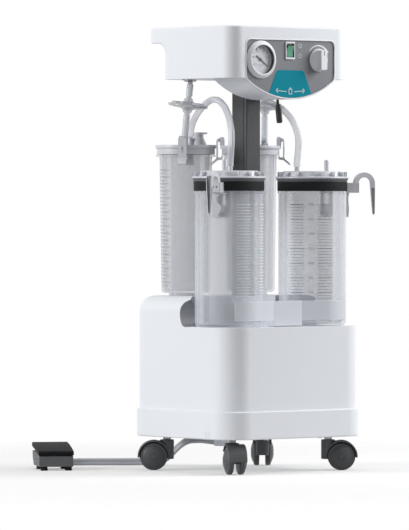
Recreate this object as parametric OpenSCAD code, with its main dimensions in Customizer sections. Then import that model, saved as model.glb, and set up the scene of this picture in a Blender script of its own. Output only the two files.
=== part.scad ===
// Mobile suction pump: a trolley with a pump in its base, a column, a control head,
// two large front jars, two smaller rear jars and a foot pedal on an air hose.
// Millimetres, +Z up, the front faces -Y. The trolley is drawn about the middle of its base,
// and place() moves everything so that the whole set stands on the middle of its own footprint.

/* [Base] */
// Width of the skirt, left to right
skirt_w = 325; // [320:1:330]
// Depth of the skirt, front to back
skirt_d = 295; // [290:1:300]
// Corner radius of the skirt
skirt_r = 50; // [44:1:56]
// Height of the skirt's lower edge above the floor
skirt_z = 62; // [62:1:63]
// Height of the skirt itself
skirt_h = 50; // [46:1:54]
// How far the cover stands in from the skirt
cover_inset = 4.5; // [4:0.5:5]
// Height of the deck that the front jars stand on
deck_z = 260; // [258:1:262]
// Height of the raised rear part
riser_z = 314; // [312:1:316]
// Radius of the riser's top edge
riser_r = 28; // [20:1:30]

/* [Casters] */
// Sideways distance of each caster's stem from the middle
caster_x = 112; // [110:1:114]
// Front or rear distance of each caster's stem from the middle
caster_y = 92; // [90:1:94]
// Diameter of a caster wheel
wheel_d = 50; // [50:1:50]
// Distance from the stem's axis back to the wheel's axle
trail = 24; // [23:0.5:25]

/* [Head] */
// Width of the control head
head_w = 276; // [274:1:280]
// Depth of the control head without its handle
head_d = 202; // [200:1:204]
// Height of the head's underside
head_z = 702; // [701:1:703]
// Height of the head's top
head_top = 795; // [794:1:797]
// How far the rear handle stands out behind the head
handle_out = 41; // [38:1:44]
// Radius of the arc under the front panel
arc_r = 170; // [170:1:170]
// Diameter of the vacuum gauge's bezel
gauge_d = 67.5; // [66:0.5:69]
// Diameter of the regulator knob
knob_d = 41; // [39:1:43]

/* [Front jars] */
// Outer diameter of a front jar
jar_d = 122; // [121:1:122]
// Wall thickness of the jars
jar_wall = 3.5; // [3:0.5:4]
// Sideways distance of a front jar's axis from the middle
jar_x = 97.4; // [97:0.2:98]
// Front distance of a front jar's axis from the middle
jar_y = 65.2; // [65:0.2:66]
// Height of a front jar's rim
jar_top = 512; // [511:1:513]

/* [Rear jars] */
// Outer diameter of a rear jar just under its flange
rear_jar_d = 95; // [94:1:96]
// Outer diameter of a rear jar at its foot
rear_foot_d = 88; // [86:1:90]
// Height of a rear jar's flange
rear_top = 567; // [567:1:567]

/* [Pedal] */
// Width of the foot pedal's treadle
pedal_w = 64; // [62:1:66]
// Length of the foot pedal
pedal_l = 95; // [94:1:96]

/* [Hidden] */
$fn = 64;

// The trolley's own middle, seen from the middle of the whole set's footprint
trolley_x = 61;
trolley_y = -72;
// Radial clearance of a shaft that turns in its hole, and the gap round a loose fit
run = 0.05;
gap = 0.3;

cover_w = skirt_w - 2 * cover_inset;
cover_d = skirt_d - 2 * cover_inset;
cover_r = skirt_r - cover_inset;
cover_wall = 3.5;
cover_z = skirt_z + skirt_h;
tray_floor = 5;
// The rim that the cover stands on reaches this far in from the skirt's face
tray_rim = cover_inset + cover_wall;
nose_x = 50;
nose_y = -34;
scoop_r = 68;

column_w = 34;
column_d = 41;
column_y = 4;
column_z = skirt_z + tray_floor;
column_top = head_z + 10;

boss_top = 55;
stem_r = 4;
stem_top = 78;
// Turn of each caster about its stem, from +X: front left, front right, rear left, rear right
caster_turn = [-118, -39, 141, 51];

head_y = -19;
head_front = head_y - head_d / 2;
head_back = head_y + head_d / 2;
head_wall = 3;
head_base_t = 4;
head_r = 27;
panel_half = 102;
panel_top = 770;
panel_t = 3;
panel_in = 1.5;
arc_z = 665 + arc_r;
bulge_back = -31;
panel_face = head_front + panel_in;
panel_back = panel_face + panel_t;

gauge_x = -68.3;
gauge_z = 735;
gauge_out = 7.5;
gauge_bore = 26.5;
gauge_lip = 25.5;
switch_x = -1;
switch_z = 752;
switch_w = 21.5;
switch_h = 31.5;
rocker_lean = 12;
rocker_half = 10.5;
knob_x = 64.6;
knob_z = 736;
knob_t = 4;
grip_foot = 20;
grip_w = 14;
grip_out = 14;
lever_y = -80;
lever_z = 690;
lever_lean = 7;

front_seal_z = 500;
front_lid_z = 519;
front_lid_top = 530;
port_r = 4.5;
port_bore = 2.75;
port_top = 558;
hose_port_top = 546;
// Spigots of a left front lid, from the jar's axis: the hose's and the free patient port's
hose_port = [19.2, 19.7];
patient_port = [-22, -13.8];
float_r = 8;
float_z = 457.5;
boss_r = 7;
hook_turn = 57.7;
arch = 94.5;
arch_z = 516.5;

rear_x = 76;
rear_y = 82.7;
rear_lid_z = 579;
rear_disc_r = 55.5;
rear_disc_top = 585;
// Spigots of a left rear lid, in the trolley's frame: the loop hose's and the filter's
loop_port = [-66, 82];
filter_port = [-94, 65];
spigot_top = 598;
clip_pivot_r = 52;
clip_pivot_z = 597;
clip_pin_r = 1.5;

port_x = 88;
port_y = 55;
port_z = 694;
hose_r = 6;
// The filter's axis leans along the line from the head's port down to the rear lid's spigot
filter_from = [-port_x, port_y, port_z];
filter_to = [filter_port[0], filter_port[1], spigot_top];
filter_lean = filter_to - filter_from;
filter_c = filter_from + 0.4 * filter_lean;
filter_dir = filter_lean / norm(filter_lean);
filter_half = 17;

// Power inlet and vents in the rear of the cover
inlet_x = -60;
inlet_w = 28;
inlet_z = 140;
inlet_h = 21;
inlet_deep = 24;
vent_x = 60;
vent_z = 190;
vent_h = 36;
vent_w = 4;
vent_step = 9;

pump_y = -78;
pump_z = 138;
rotor_r = 4;
line_z = 192;
motor_half = 52;

pedal_x = -285;
pedal_y = 194;
pedal_turn = -30;
pedal_hinge_y = 43;
pedal_hinge_z = 15.6;
pedal_pin_r = 2;
pedal_floor = 7;

// Middle line of the left loop hose, from the rear lid over to the front lid
loop_route = [[-66, 82, 598], [-66, 82, 604], [-62, 83, 619], [-53.5, 82.5, 636], [-46, 74, 652],
    [-45, 56, 663], [-52, 27, 666], [-61.5, -3, 658], [-70, -28, 641], [-75.5, -43, 619], [-78, -49, 597],
    [-78.5, -48, 574], [-78.2, -45.5, 552], [-78.2, -45.5, 546]];
// Middle line of the pedal's hose, from the pedal to the fitting under the base
pedal_route = [[-227, 270, 14], [-223.5, 276, 14], [-214, 293, 11], [-200, 311, 7.5], [-181, 322, 6.6],
    [-160, 326, 6.6], [-139, 322, 6.6], [-122, 312, 6.6], [-98, 293, 6.6], [-74, 273, 6.6],
    [-52, 255, 6.8], [-38, 239, 7.5], [-31, 219, 9], [-29, 199, 14], [-32, 178, 24], [-37, 156, 35],
    [-42, 132, 45], [-46, 109, 51], [-49, 86, 53], [-55, 62, 54], [-63, 38, 54], [-71, 15, 54],
    [-74, 3, 54], [-74, -3, 54]];
// Middle line of the vacuum line: from the pump back into the column, up it, and over to the valve
vacuum_route = [[0, -73, line_z], [0, -50, line_z], [0, -22, line_z], [0, -11, line_z], [0, -1, 197],
    [0, 4, 208], [0, 4, 225], [0, 4, 380],
    [0, 4, 550], [0, 4, 712], [0, 0, 730], [0, -14, 740], [0, -40, 740], [0, -60, 733], [0, -68, 718],
    [0, -68, 706]];

// Sweep of a closed outline along a route: ring i stands square to the route at its point i.
function unit(v) = v / norm(v);
function along(p, i) = unit(p[min(i + 1, len(p) - 1)] - p[max(i - 1, 0)]);
function ring(p, i, side, outline) = let (t = along(p, i), s = unit(cross(t, side)), n = cross(s, t))
    [for (o = outline) p[i] + o[0] * s + o[1] * n];
function ellipse(a, b, sides) =
    [for (k = [0:sides - 1]) let (t = 360 * k / sides) [a * cos(t), b * sin(t)]];

module sweep(route, side, outline) {
    m = len(outline);
    count = len(route);
    points = [for (i = [0:count - 1]) each ring(route, i, side, outline)];
    walls = [for (i = [0:count - 2], k = [0:m - 1])
        [i * m + k, i * m + (k + 1) % m, (i + 1) * m + (k + 1) % m, (i + 1) * m + k]];
    start = [for (k = [0:m - 1]) m - 1 - k];
    end = [for (k = [0:m - 1]) (count - 1) * m + k];
    polyhedron(points, concat([start], walls, [end]));
}

module place() {
    translate([trolley_x, trolley_y, 0])
        children();
}

module rounded(w, d, r) {
    square([w - 2 * r, d], center = true);
    square([w, d - 2 * r], center = true);
    for (x = [-1, 1], y = [-1, 1])
        translate([x * (w / 2 - r), y * (d / 2 - r)])
            circle(r);
}

module block(w, d, r, z, h) {
    translate([0, 0, z])
        linear_extrude(h)
            rounded(w, d, r);
}

// Rod along +Y from y0 to y1
module rod_y(x, z, r, y0, y1) {
    translate([x, y0, z])
        rotate([-90, 0, 0])
            cylinder(r = r, h = y1 - y0);
}

// Rod along +X from x0 to x1
module rod_x(y, z, r, x0, x1) {
    translate([x0, y, z])
        rotate([0, 90, 0])
            cylinder(r = r, h = x1 - x0);
}

// Outline in x and z, drawn out along +Y from y0 to y1
module slab_y(y0, y1) {
    translate([0, y1, 0])
        rotate([90, 0, 0])
            linear_extrude(y1 - y0)
                children();
}

// ---------- base ----------

module caster_sites() {
    for (x = [-1, 1], y = [-1, 1])
        translate([x * caster_x, y * caster_y, 0])
            children();
}

// Flat corner of the tray where the pedal's hose enters
module hose_entry() {
    translate([-82, -26, 46])
        cube([16, 23, skirt_z + tray_floor - 46]);
}

module base_tray() color("gainsboro") {
    difference() {
        union() {
            difference() {
                block(skirt_w, skirt_d, skirt_r, skirt_z, skirt_h);
                block(skirt_w - 2 * tray_rim, skirt_d - 2 * tray_rim, skirt_r - tray_rim,
                    skirt_z + tray_floor, skirt_h);
            }
            caster_sites() {
                translate([0, 0, boss_top + gap])
                    cylinder(r = 7, h = skirt_z - boss_top);
                translate([0, 0, skirt_z + 1])
                    cylinder(r = 10, h = stem_top - skirt_z);
            }
            hose_entry();
        }
        caster_sites()
            translate([0, 0, boss_top - 1])
                cylinder(r = stem_r + run, h = stem_top - boss_top + 1 + gap);
    }
}

module riser_form(inset, bottom, top) {
    r = riser_r - inset;
    hull()
        for (i = [0:6])
            let (a = 15 * i, in = inset + r * (1 - cos(a)))
                block(cover_w - 2 * in, cover_d - 2 * in, cover_r - in * 0.9, bottom,
                    top - r + r * sin(a) - bottom);
}

// Side view of a jar's nest, from the deck up: its back bulges under a thin lip
module nest_side(grow) {
    offset(delta = grow)
        polygon([[-200, 0], [-14, 0], [-8, 3], [-3, 12], [-1.5, 24], [-3, 36], [-8, 44], [-17, 48.5],
            [-35, 50], [-200, 50]]);
}

// Everything in front of the riser: the deck's space, the nests and the scoops round the jars
module riser_front(grow) {
    translate([0, 0, deck_z - grow]) {
        translate([-200, -200, 0])
            cube([400, 200 + nose_y + grow, 80]);
        for (x = [-1, 1]) {
            translate([x * (nose_x + 75 - grow) - 75, 0, grow])
                rotate([90, 0, 90])
                    linear_extrude(150)
                        nest_side(grow);
            translate([x * jar_x, -jar_y, 0])
                cylinder(r = scoop_r + grow, h = 80);
        }
    }
}

module base_cover() color("whitesmoke") {
    wall = cover_wall;
    difference() {
        union() {
            block(cover_w, cover_d, cover_r, cover_z, deck_z - cover_z);
            difference() {
                riser_form(0, deck_z - 20, riser_z);
                riser_front(0);
            }
        }
        block(cover_w - 2 * wall, cover_d - 2 * wall, cover_r - wall, cover_z - 1,
            deck_z - wall - cover_z + 1);
        difference() {
            riser_form(wall, deck_z - 30, riser_z - wall);
            riser_front(wall);
        }
        translate([0, column_y, deck_z])
            cube([column_w, column_d, 200], center = true);
        for (x = [-2.5:2.5])
            translate([vent_x + x * vent_step, cover_d / 2 - 5, vent_z])
                cube([vent_w, 10, vent_h]);
        translate([inlet_x - inlet_w / 2, cover_d / 2 - 5, inlet_z])
            cube([inlet_w, 10, inlet_h]);
    }
}

module column() color("dimgray") {
    difference() {
        translate([-column_w / 2, column_y - column_d / 2, column_z])
            cube([column_w, column_d, column_top - column_z]);
        translate([-column_w / 2 + 3, column_y - column_d / 2 + 3, column_z - 1])
            cube([column_w - 6, column_d - 6, column_top]);
        for (x = [-1, 1], y = [-1, 1])
            translate([x * column_w / 2, column_y + y * column_d / 2, column_z - 1])
                rotate(45)
                    cube([4, 4, 2000], center = true);
        rod_y(0, line_z, 6, column_y - column_d / 2 - 1, column_y - column_d / 2 + 4);
    }
}

module column_flanges() color("silver") {
    for (z = [column_z, head_z + head_base_t])
        difference() {
            translate([-40, column_y - 40, z])
                cube([80, 80, 6]);
            translate([-column_w / 2, column_y - column_d / 2, z - 1])
                cube([column_w, column_d, 8]);
        }
}

// Point beside the right front jar, a degrees outward from straight ahead
function around(r, a) = [jar_x + r * sin(a), -jar_y - r * cos(a)];

module jar_band() color("lightgray") {
    outer = jar_d / 2 + 2.5;
    inner = jar_d / 2 + 0.5;
    plate_front = -113;
    plate_half = 33;
    translate([0, 0, deck_z + 11])
        for (m = [0, 1])
            mirror([m, 0])
                linear_extrude(35)
                    polygon(concat([[plate_half, plate_front + 2], [plate_half, plate_front]],
                        [for (a = [-17:4.7:30.1]) around(outer, a)],
                        [for (a = [30:-4.7:-17.1]) around(inner, a)]));
    translate([-plate_half, plate_front, deck_z])
        cube([2 * plate_half, 2, 46]);
    translate([-plate_half, plate_front, deck_z])
        cube([2 * plate_half, 16, 2]);
}

module screws() color("silver") {
    for (x = [-1, 1], y = [-1, 1])
        translate([x * 62, y * 128, skirt_z - 2])
            cylinder(r = 4, h = 2);
    for (x = [-1, 1])
        translate([x * 20, -104, deck_z + 2])
            cylinder(r = 4, h = 2);
    for (x = [-1, 1], y = [-1, 1])
        translate([x * 31, column_y + y * 31, column_z + 6])
            cylinder(r = 4, h = 3);
    for (x = [-1, 1], y = [-1, 1])
        translate([x * 31, column_y + y * 31, head_z + head_base_t + 6])
            cylinder(r = 4, h = 3);
    for (x = [-1, 1])
        translate([x * 120, 40, head_z - 2])
            cylinder(r = 4, h = 2);
}

// ---------- casters ----------

module turned(k) {
    x = (k % 2 == 0) ? -1 : 1;
    y = (k < 2) ? -1 : 1;
    translate([x * caster_x, y * caster_y, 0])
        rotate(caster_turn[k])
            children();
}

module fork(k) color("dimgray") turned(k) {
    r = wheel_d / 2;
    difference() {
        union() {
            translate([0, 0, boss_top - 1])
                cylinder(r = stem_r, h = stem_top - boss_top + 1);
            translate([0, 0, 20])
                cylinder(r = 12.5, h = boss_top - 20);
            slab_y(-4.5, 4.5)
                polygon([[-10, 34], [-12.5, boss_top], [trail, boss_top - 2], [trail + 8, r],
                    [trail, r - 7], [0, r]]);
            translate([trail, 0, r])
                intersection() {
                    rotate([90, 0, 0])
                        cylinder(r = r + 4, h = 34, center = true);
                    translate([-22, -20, -2])
                        cube([60, 40, 40]);
                }
        }
        for (s = [-1, 1])
            translate([trail, s * 19.5, r])
                rotate([90, 0, 0])
                    cylinder(r = r + 1.5, h = 29, center = true);
        translate([trail - 60, -20, 0])
            cube([47.5, 40, 20.5]);
        translate([trail, 0, r])
            rotate([90, 0, 0])
                cylinder(r = 3 + run, h = 50, center = true);
    }
}

module wheels(k) color("gray") turned(k) {
    r = wheel_d / 2;
    translate([trail, 0, r])
        rotate([90, 0, 0]) {
            cylinder(r = 3, h = 30, center = true);
            for (s = [0, 1])
                mirror([0, 0, s])
                    rotate_extrude()
                        polygon([[0, 5.5], [r - 1, 5.5], [r, 6.5], [r, 13.5], [r - 1, 15], [r - 6, 18],
                            [r - 14, 20], [0, 21]]);
        }
}

// ---------- column head ----------

module head_shell() color("whitesmoke") {
    w = head_wall;
    handle_h = 27;
    difference() {
        union() {
            translate([0, head_y, 0])
                block(head_w, head_d, head_r, head_z, head_top - head_z);
            translate([0, head_y + handle_out / 2, 0])
                block(head_w, head_d + handle_out, head_r, head_top - handle_h, handle_h);
        }
        translate([0, head_y, 0])
            block(head_w - 2 * w, head_d - 2 * w, head_r - w, head_z - 1, head_top - head_z - w + 1);
        translate([15 - head_w / 2, head_back, head_top - handle_h - 1])
            cube([head_w - 30, handle_out - 10, handle_h - 5]);
        slab_y(head_front - 1, head_front + w + 1)
            panel_outline(0);
    }
}

// The panel's outline: straight top with round corners, and the arc below
module panel_outline(inset) {
    half = panel_half - inset;
    top = panel_top - inset;
    translate([0, top - 20])
        rounded(2 * half, 40, 8);
    intersection() {
        translate([-half, 600])
            square([2 * half, top - 15 - 600]);
        translate([0, arc_z])
            circle(arc_r - 2.5 - inset, $fn = 180);
    }
}

module head_base() color("whitesmoke") {
    w = head_wall;
    under = arc_r - 2.5;
    difference() {
        translate([0, head_y, 0])
            block(head_w - 2 * w, head_d - 2 * w, head_r - w, head_z, head_base_t);
        translate([-panel_half, head_front + w - 1, head_z - 1])
            cube([2 * panel_half, bulge_back - head_front - 2 * w + 1, head_base_t + 2]);
        translate([-column_w / 2, column_y - column_d / 2, head_z - 1])
            cube([column_w, column_d, head_base_t + 2]);
        for (x = [-1, 1])
            translate([x * port_x, port_y, head_z - 1])
                cylinder(r = 7.5, h = head_base_t + 2);
    }
    difference() {
        slab_y(head_front, bulge_back)
            intersection() {
                translate([-150, 600])
                    square([300, head_z - 600]);
                translate([0, arc_z])
                    circle(arc_r, $fn = 180);
            }
        slab_y(head_front - 1, bulge_back - w)
            intersection() {
                translate([-panel_half, 600])
                    square([2 * panel_half, head_z - 600 + 1]);
                translate([0, arc_z])
                    circle(under, $fn = 180);
            }
        translate([-23, lever_y - 5, 640])
            cube([46, 10, 40]);
    }
}

module front_panel() color("darkgray") {
    difference() {
        slab_y(panel_face, panel_back)
            panel_outline(gap);
        rod_y(gauge_x, gauge_z, 30, panel_face - 1, panel_back + 1);
        translate([switch_x - 10, panel_face - 1, switch_z - 13.5])
            cube([20, panel_t + 2, 27]);
        rod_y(knob_x, knob_z, 5, panel_face - 1, panel_back + 1);
    }
}

module gauge_case() color("whitesmoke") {
    translate([gauge_x, panel_face, gauge_z])
        rotate([90, 0, 0])
            rotate_extrude()
                polygon([[1, -30], [30 - gap, -30], [30 - gap, 0], [gauge_d / 2, 0], [gauge_d / 2, 2],
                    [gauge_lip + 3.2, gauge_out], [gauge_lip + 0.6, gauge_out], [gauge_lip, gauge_out - 1],
                    [gauge_bore, gauge_out - 3], [gauge_bore, -27], [1, -27]]);
}

module gauge_dial() color("lightgray") {
    difference() {
        rod_y(gauge_x, gauge_z, gauge_bore - run, panel_face + 2, panel_face + 3.2);
        rod_y(gauge_x, gauge_z, 1 + run, panel_face - 1, panel_face + 5);
    }
}

module gauge_needle() color("black") {
    translate([gauge_x, 0, gauge_z]) {
        rod_y(0, 0, 1, panel_face - 0.6, panel_face + 26);
        rod_y(0, 0, 3, panel_face, panel_face + 1.6);
        rotate([0, 35, 0])
            translate([0, panel_face + 0.4, 0])
                slab_y(0, 0.8)
                    polygon([[-11, -1.1], [-11, 1.1], [0, 1.3], [22, 0.4], [22, -0.4], [0, -1.3]]);
    }
}

module gauge_glass() color("azure", 0.4) {
    rod_y(gauge_x, gauge_z, gauge_bore - run, panel_face - 4, panel_face - 2.5);
}

module switch_frame() color("white") {
    difference() {
        union() {
            translate([switch_x - switch_w / 2, panel_face - 2.5, switch_z - switch_h / 2])
                cube([switch_w, 2.5, switch_h]);
            translate([switch_x - 10 + gap, panel_face, switch_z - 13.5 + gap])
                cube([20 - 2 * gap, 18, 27 - 2 * gap]);
        }
        translate([switch_x - 8.5, panel_face - 3, switch_z - 12])
            cube([17, 16, 24]);
        rod_x(panel_face + 3, switch_z, 1.5 + run, switch_x - 9.9, switch_x + 9.9);
    }
}

module power_rocker() color("seagreen") {
    translate([switch_x, panel_face + 3, switch_z]) {
        rod_x(0, 0, 1.5, -9.6, 9.6);
        rotate([rocker_lean, 0, 0])
            rotate([90, 0, 90])
                translate([0, 0, -8])
                    linear_extrude(16)
                        polygon([[-6, -rocker_half], [-4.2, 0], [-6, rocker_half], [0, rocker_half], [5, 4],
                            [5, -4], [0, -rocker_half]]);
    }
}

module regulator_knob() color("whitesmoke") {
    translate([knob_x, panel_face - 0.6, knob_z]) {
        rod_y(0, 0, 3, -4, 20);
        rotate([90, 0, 0])
            rotate_extrude()
                polygon([[0, 0], [knob_d / 2, 0], [knob_d / 2, knob_t - 1], [knob_d / 2 - 1, knob_t],
                    [0, knob_t]]);
        intersection() {
            translate([0, 0, -knob_d / 2])
                linear_extrude(knob_d)
                    polygon([[-grip_foot / 2, 1 - knob_t], [grip_foot / 2, 1 - knob_t],
                        [grip_w / 2, -knob_t - grip_out], [-grip_w / 2, -knob_t - grip_out]]);
            rotate([90, 0, 0])
                cylinder(r1 = knob_d / 2 - 0.5, r2 = knob_d / 2 - 2.5, h = knob_t + grip_out);
        }
    }
}

module regulator_valve() color("tan") {
    difference() {
        union() {
            rod_y(knob_x, knob_z, 13, panel_back, panel_back + 30);
            rod_x(panel_back + 20, knob_z, 4, knob_x - 28, knob_x);
        }
        rod_y(knob_x, knob_z, 3 + run, panel_back - 1, panel_back + 18);
    }
}

module selector_valve() color("tan") {
    top = head_z + head_base_t;
    inner = bulge_back - head_wall;
    difference() {
        translate([-16, lever_y - 14, lever_z - 9])
            cube([32, 30, top - lever_z + 9]);
        translate([-17, lever_y - 4, lever_z - 12])
            cube([34, 8, 20]);
        rod_y(0, lever_z, 3 + run, lever_y - 12, lever_y + 12);
    }
    translate([-16, lever_y + 16, head_z])
        cube([32, inner - lever_y - 16, head_base_t]);
}

module selector_lever() color("black") {
    translate([0, lever_y, lever_z]) {
        rod_y(0, 0, 3, -11.5, 11.5);
        rod_y(0, 0, 6, -3.5, 3.5);
        rotate([0, 180 - lever_lean, 0]) {
            cylinder(r = 2.5, h = 40);
            translate([0, 0, 36])
                cylinder(r1 = 4.5, r2 = 5.5, h = 4);
            translate([0, 0, 40])
                cylinder(r = 5.5, h = 25);
            translate([0, 0, 65])
                cylinder(r1 = 5.5, r2 = 4, h = 2);
        }
    }
}

module inlet_ports() color("dimgray") {
    for (x = [-1, 1])
        translate([x * port_x, port_y, 0])
            difference() {
                union() {
                    translate([0, 0, head_z - 4])
                        cylinder(r = 11, h = 4);
                    translate([0, 0, port_z])
                        cylinder(r = 4.5, h = head_z + 20 - port_z);
                    translate([0, 0, head_z])
                        cylinder(r = 7.5 - gap, h = 12);
                }
                translate([0, 0, port_z - 1])
                    cylinder(r = 3, h = 60);
            }
}

module leaning(left) {
    mirror([left ? 0 : 1, 0, 0])
        translate(filter_c)
            rotate([0, acos(filter_dir[2]), atan2(filter_dir[1], filter_dir[0])])
                children();
}

module filters() color("azure", 0.6) {
    for (left = [true, false])
        leaning(left)
            rotate_extrude()
                polygon([[2.5, -filter_half], [4.5, -filter_half], [5.5, -14], [8, -12], [9, -7], [32, -3],
                    [34, -2.5], [36, -1.5], [36, 1.5], [34, 2.5], [32, 3], [9, 7], [8, 12], [5.5, 14],
                    [4.5, filter_half], [2.5, filter_half]]);
}

module air_tubes() color("lightcyan", 0.8) {
    sweep(vacuum_route, [1, 0, 0], ellipse(5, 5, 8));
    upper = filter_c - filter_half * filter_dir;
    lower = filter_c + filter_half * filter_dir;
    for (m = [0, 1])
        mirror([m, 0, 0]) {
            sweep([filter_from, filter_from - [0, 0, 3], upper - 3 * filter_dir, upper],
                [1, 0, 0], ellipse(hose_r, hose_r, 12));
            sweep([lower, lower + 4 * filter_dir, filter_to + [0, 0, 4], filter_to],
                [1, 0, 0], ellipse(hose_r, hose_r, 12));
        }
}

// ---------- front jars ----------

module front_sites() {
    for (m = [0, 1])
        mirror([m, 0, 0])
            translate([-jar_x, -jar_y, 0])
                children();
}

module front_site(left) {
    mirror([left ? 0 : 1, 0, 0])
        translate([-jar_x, -jar_y, 0])
            children();
}

module front_jars() color("azure", 0.4) {
    r = jar_d / 2;
    front_sites()
        rotate_extrude()
            polygon([[0, deck_z], [r - 8, deck_z], [r - 2.3, deck_z + 2.3], [r, deck_z + 8], [r, jar_top],
                [r - jar_wall, jar_top], [r - jar_wall, deck_z + 9], [r - 10, deck_z + 4], [0, deck_z + 4]]);
}

module jar_seals() color("black") {
    r = jar_d / 2;
    front_sites()
        rotate_extrude()
            polygon([[r, front_seal_z], [r + 2, front_seal_z], [r + 2, front_lid_z], [54, front_lid_z],
                [54, jar_top], [r, jar_top]]);
}

// Bores of a lid's spigots, upright through everything
module bores(ports) {
    for (p = ports)
        translate([p[0], p[1], front_seal_z])
            cylinder(r = port_bore, h = 150);
}

module front_lids() color("lightgray") {
    front_sites()
        difference() {
            union() {
                rotate_extrude()
                    polygon([[0, 508], [53.7, 508], [53.7, front_lid_z], [63, front_lid_z], [63, 521.5],
                        [66, 521.5], [66, 527], [65, 528], [55, 528], [52, 538], [46, 538],
                        [44, front_lid_top], [0, front_lid_top]]);
                for (k = [0:15])
                    rotate(k * 22.5)
                        translate([30, -1, front_lid_top - 1])
                            cube([16, 2, 7]);
            }
            for (p = [hose_port, patient_port])
                translate([p[0], p[1], front_lid_top])
                    cylinder(r = boss_r, h = 10);
            bores([hose_port, patient_port]);
        }
}

module front_spigots() color("lightgray") {
    front_sites()
        difference() {
            for (p = [[hose_port, hose_port_top], [patient_port, port_top]])
                translate([p[0][0], p[0][1], front_lid_top]) {
                    cylinder(r = boss_r, h = 5);
                    cylinder(r = port_r, h = p[1] - front_lid_top);
                }
            bores([hose_port, patient_port]);
        }
}

module float_cages() color("gainsboro") {
    front_sites()
        translate([patient_port[0], patient_port[1], 455]) {
            difference() {
                cylinder(r = 11.5, h = 508 - 455);
                translate([0, 0, -1])
                    cylinder(r = 6, h = 10);
                translate([0, 0, 3])
                    cylinder(r = 9.5, h = 60);
                for (a = [0, 90])
                    rotate(a)
                        translate([-20, -4, 10])
                            cube([40, 8, 34]);
            }
        }
}

module float_ball(left) color("white") {
    front_site(left)
        translate([patient_port[0], patient_port[1], float_z]) {
            translate([0, 0, 6])
                cylinder(r = float_r, h = 14);
            intersection() {
                translate([0, 0, 6])
                    sphere(float_r);
                translate([0, 0, -2])
                    cylinder(r = float_r, h = 8);
            }
        }
}

// Hook that hangs a jar on a rail: a block, a round arch and a tapered outer leg
// Side view of a hook's arch and leg, drawn out wider than they are
module hook_profile() {
    slab_y(-12, 12) {
        difference() {
            translate([arch, arch_z])
                circle(19.5);
            translate([arch, arch_z])
                circle(10.5);
            translate([arch - 30, arch_z - 60])
                square([60, 60]);
        }
        polygon([[arch + 10.5, arch_z], [arch + 19.5, arch_z], [arch + 19.5, 460], [arch + 18, 458],
            [arch + 15, 462]]);
        translate([75, 510])
            square([9, arch_z - 510]);
    }
}

// How the strap narrows: from the block to the leg, seen from above, and down the leg to its tip
module hook_taper() {
    intersection() {
        translate([0, 0, 450])
            linear_extrude(100)
                polygon([[70, -10], [arch + 6, -5], [120, -5], [120, 5], [arch + 6, 5], [70, 10]]);
        rotate([90, 0, 90])
            linear_extrude(130)
                polygon([[-12, 540], [12, 540], [12, arch_z], [10, 510], [5, 508], [1.5, 457], [-1.5, 457],
                    [-5, 508], [-10, 510], [-12, arch_z]]);
    }
}

// Curved plate below a hook's block
module hook_plate() {
    translate([jar_d / 2 + 2.3, 0, 0])
        rotate([90, 0, 90])
            linear_extrude(3)
                polygon([[-10, 500], [11, 500], [4, 494], [-1.5, 491], [-2, 486], [1, 480], [6, 475], [6.7, 472],
                    [5, 466], [1, 459], [0, 455], [-10, 455]]);
}

module hook(left) color("lightgray") {
    r = jar_d / 2 + 2;
    front_site(left)
        rotate(180 + 90 - hook_turn)
            difference() {
                union() {
                    translate([55, -11, 499])
                        cube([29, 22, 18]);
                    intersection() {
                        hook_profile();
                        hook_taper();
                    }
                    hook_plate();
                }
                translate([0, 0, 480])
                    cylinder(r = r, h = 60);
            }
}

// ---------- rear jars ----------

module rear_site(left) {
    mirror([left ? 0 : 1, 0, 0])
        translate([-rear_x, rear_y, 0])
            children();
}

module rear_sites() {
    for (left = [true, false])
        rear_site(left)
            children();
}

module rear_jars() color("azure", 0.4) {
    top = rear_jar_d / 2;
    foot = rear_foot_d / 2;
    w = jar_wall;
    rear_sites()
        rotate_extrude()
            polygon([[0, riser_z + 5], [foot - 16, riser_z + 5], [foot - 16, riser_z], [foot - 13, riser_z],
                [foot - 13, riser_z + 5], [foot - 5, riser_z + 5], [foot, riser_z + 10], [top, rear_top - 3],
                [54, rear_top - 3], [54, rear_top], [49, rear_top], [49, rear_lid_z],
                [top - w - 0.5, rear_lid_z], [top - w - 0.5, rear_top - 8], [foot - w, riser_z + 12],
                [foot - 8, riser_z + 8], [0, riser_z + 8]]);
}

// Turns its children to each of a rear lid's two clips, outward along +X
module clip_sites() {
    for (a = [45, 225])
        rotate(180 + a)
            children();
}

function rear_local(p) = [p[0] + rear_x, p[1] - rear_y];

module rear_lids() color("lightgray") {
    rear_sites()
        difference() {
            rotate_extrude()
                polygon([[0, 574], [43, 574], [43, rear_lid_z], [49.2, rear_lid_z], [49.2, rear_top + 1],
                    [52.5, rear_top + 1], [52.5, rear_lid_z], [rear_disc_r, rear_lid_z],
                    [rear_disc_r, rear_disc_top - 1], [rear_disc_r - 1, rear_disc_top], [0, rear_disc_top]]);
            bores([rear_local(loop_port), rear_local(filter_port)]);
        }
}

// What stands on the rear lids: the valve tower, the two spigots and the clips' ears
module rear_fittings() color("lightgray") {
    rear_sites() {
        translate([26, -4.7, rear_disc_top]) {
            cylinder(r1 = 14.5, r2 = 9, h = 13);
            cylinder(r = 9, h = 23);
            translate([-4, -7, 20])
                cube([20, 14, 3]);
        }
        difference() {
            for (p = [loop_port, filter_port])
                translate([each rear_local(p), rear_disc_top])
                    cylinder(r = port_r, h = spigot_top - rear_disc_top);
            bores([rear_local(loop_port), rear_local(filter_port)]);
        }
        clip_sites()
            difference() {
                for (y = [-6.5, 4.5])
                    slab_y(y, y + 2) {
                        translate([clip_pivot_r - 4, rear_disc_top])
                            square([7.5, clip_pivot_z - rear_disc_top]);
                        translate([clip_pivot_r, clip_pivot_z])
                            circle(4);
                    }
                rod_y(clip_pivot_r, clip_pivot_z, clip_pin_r, -10, 10);
            }
    }
}

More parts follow.
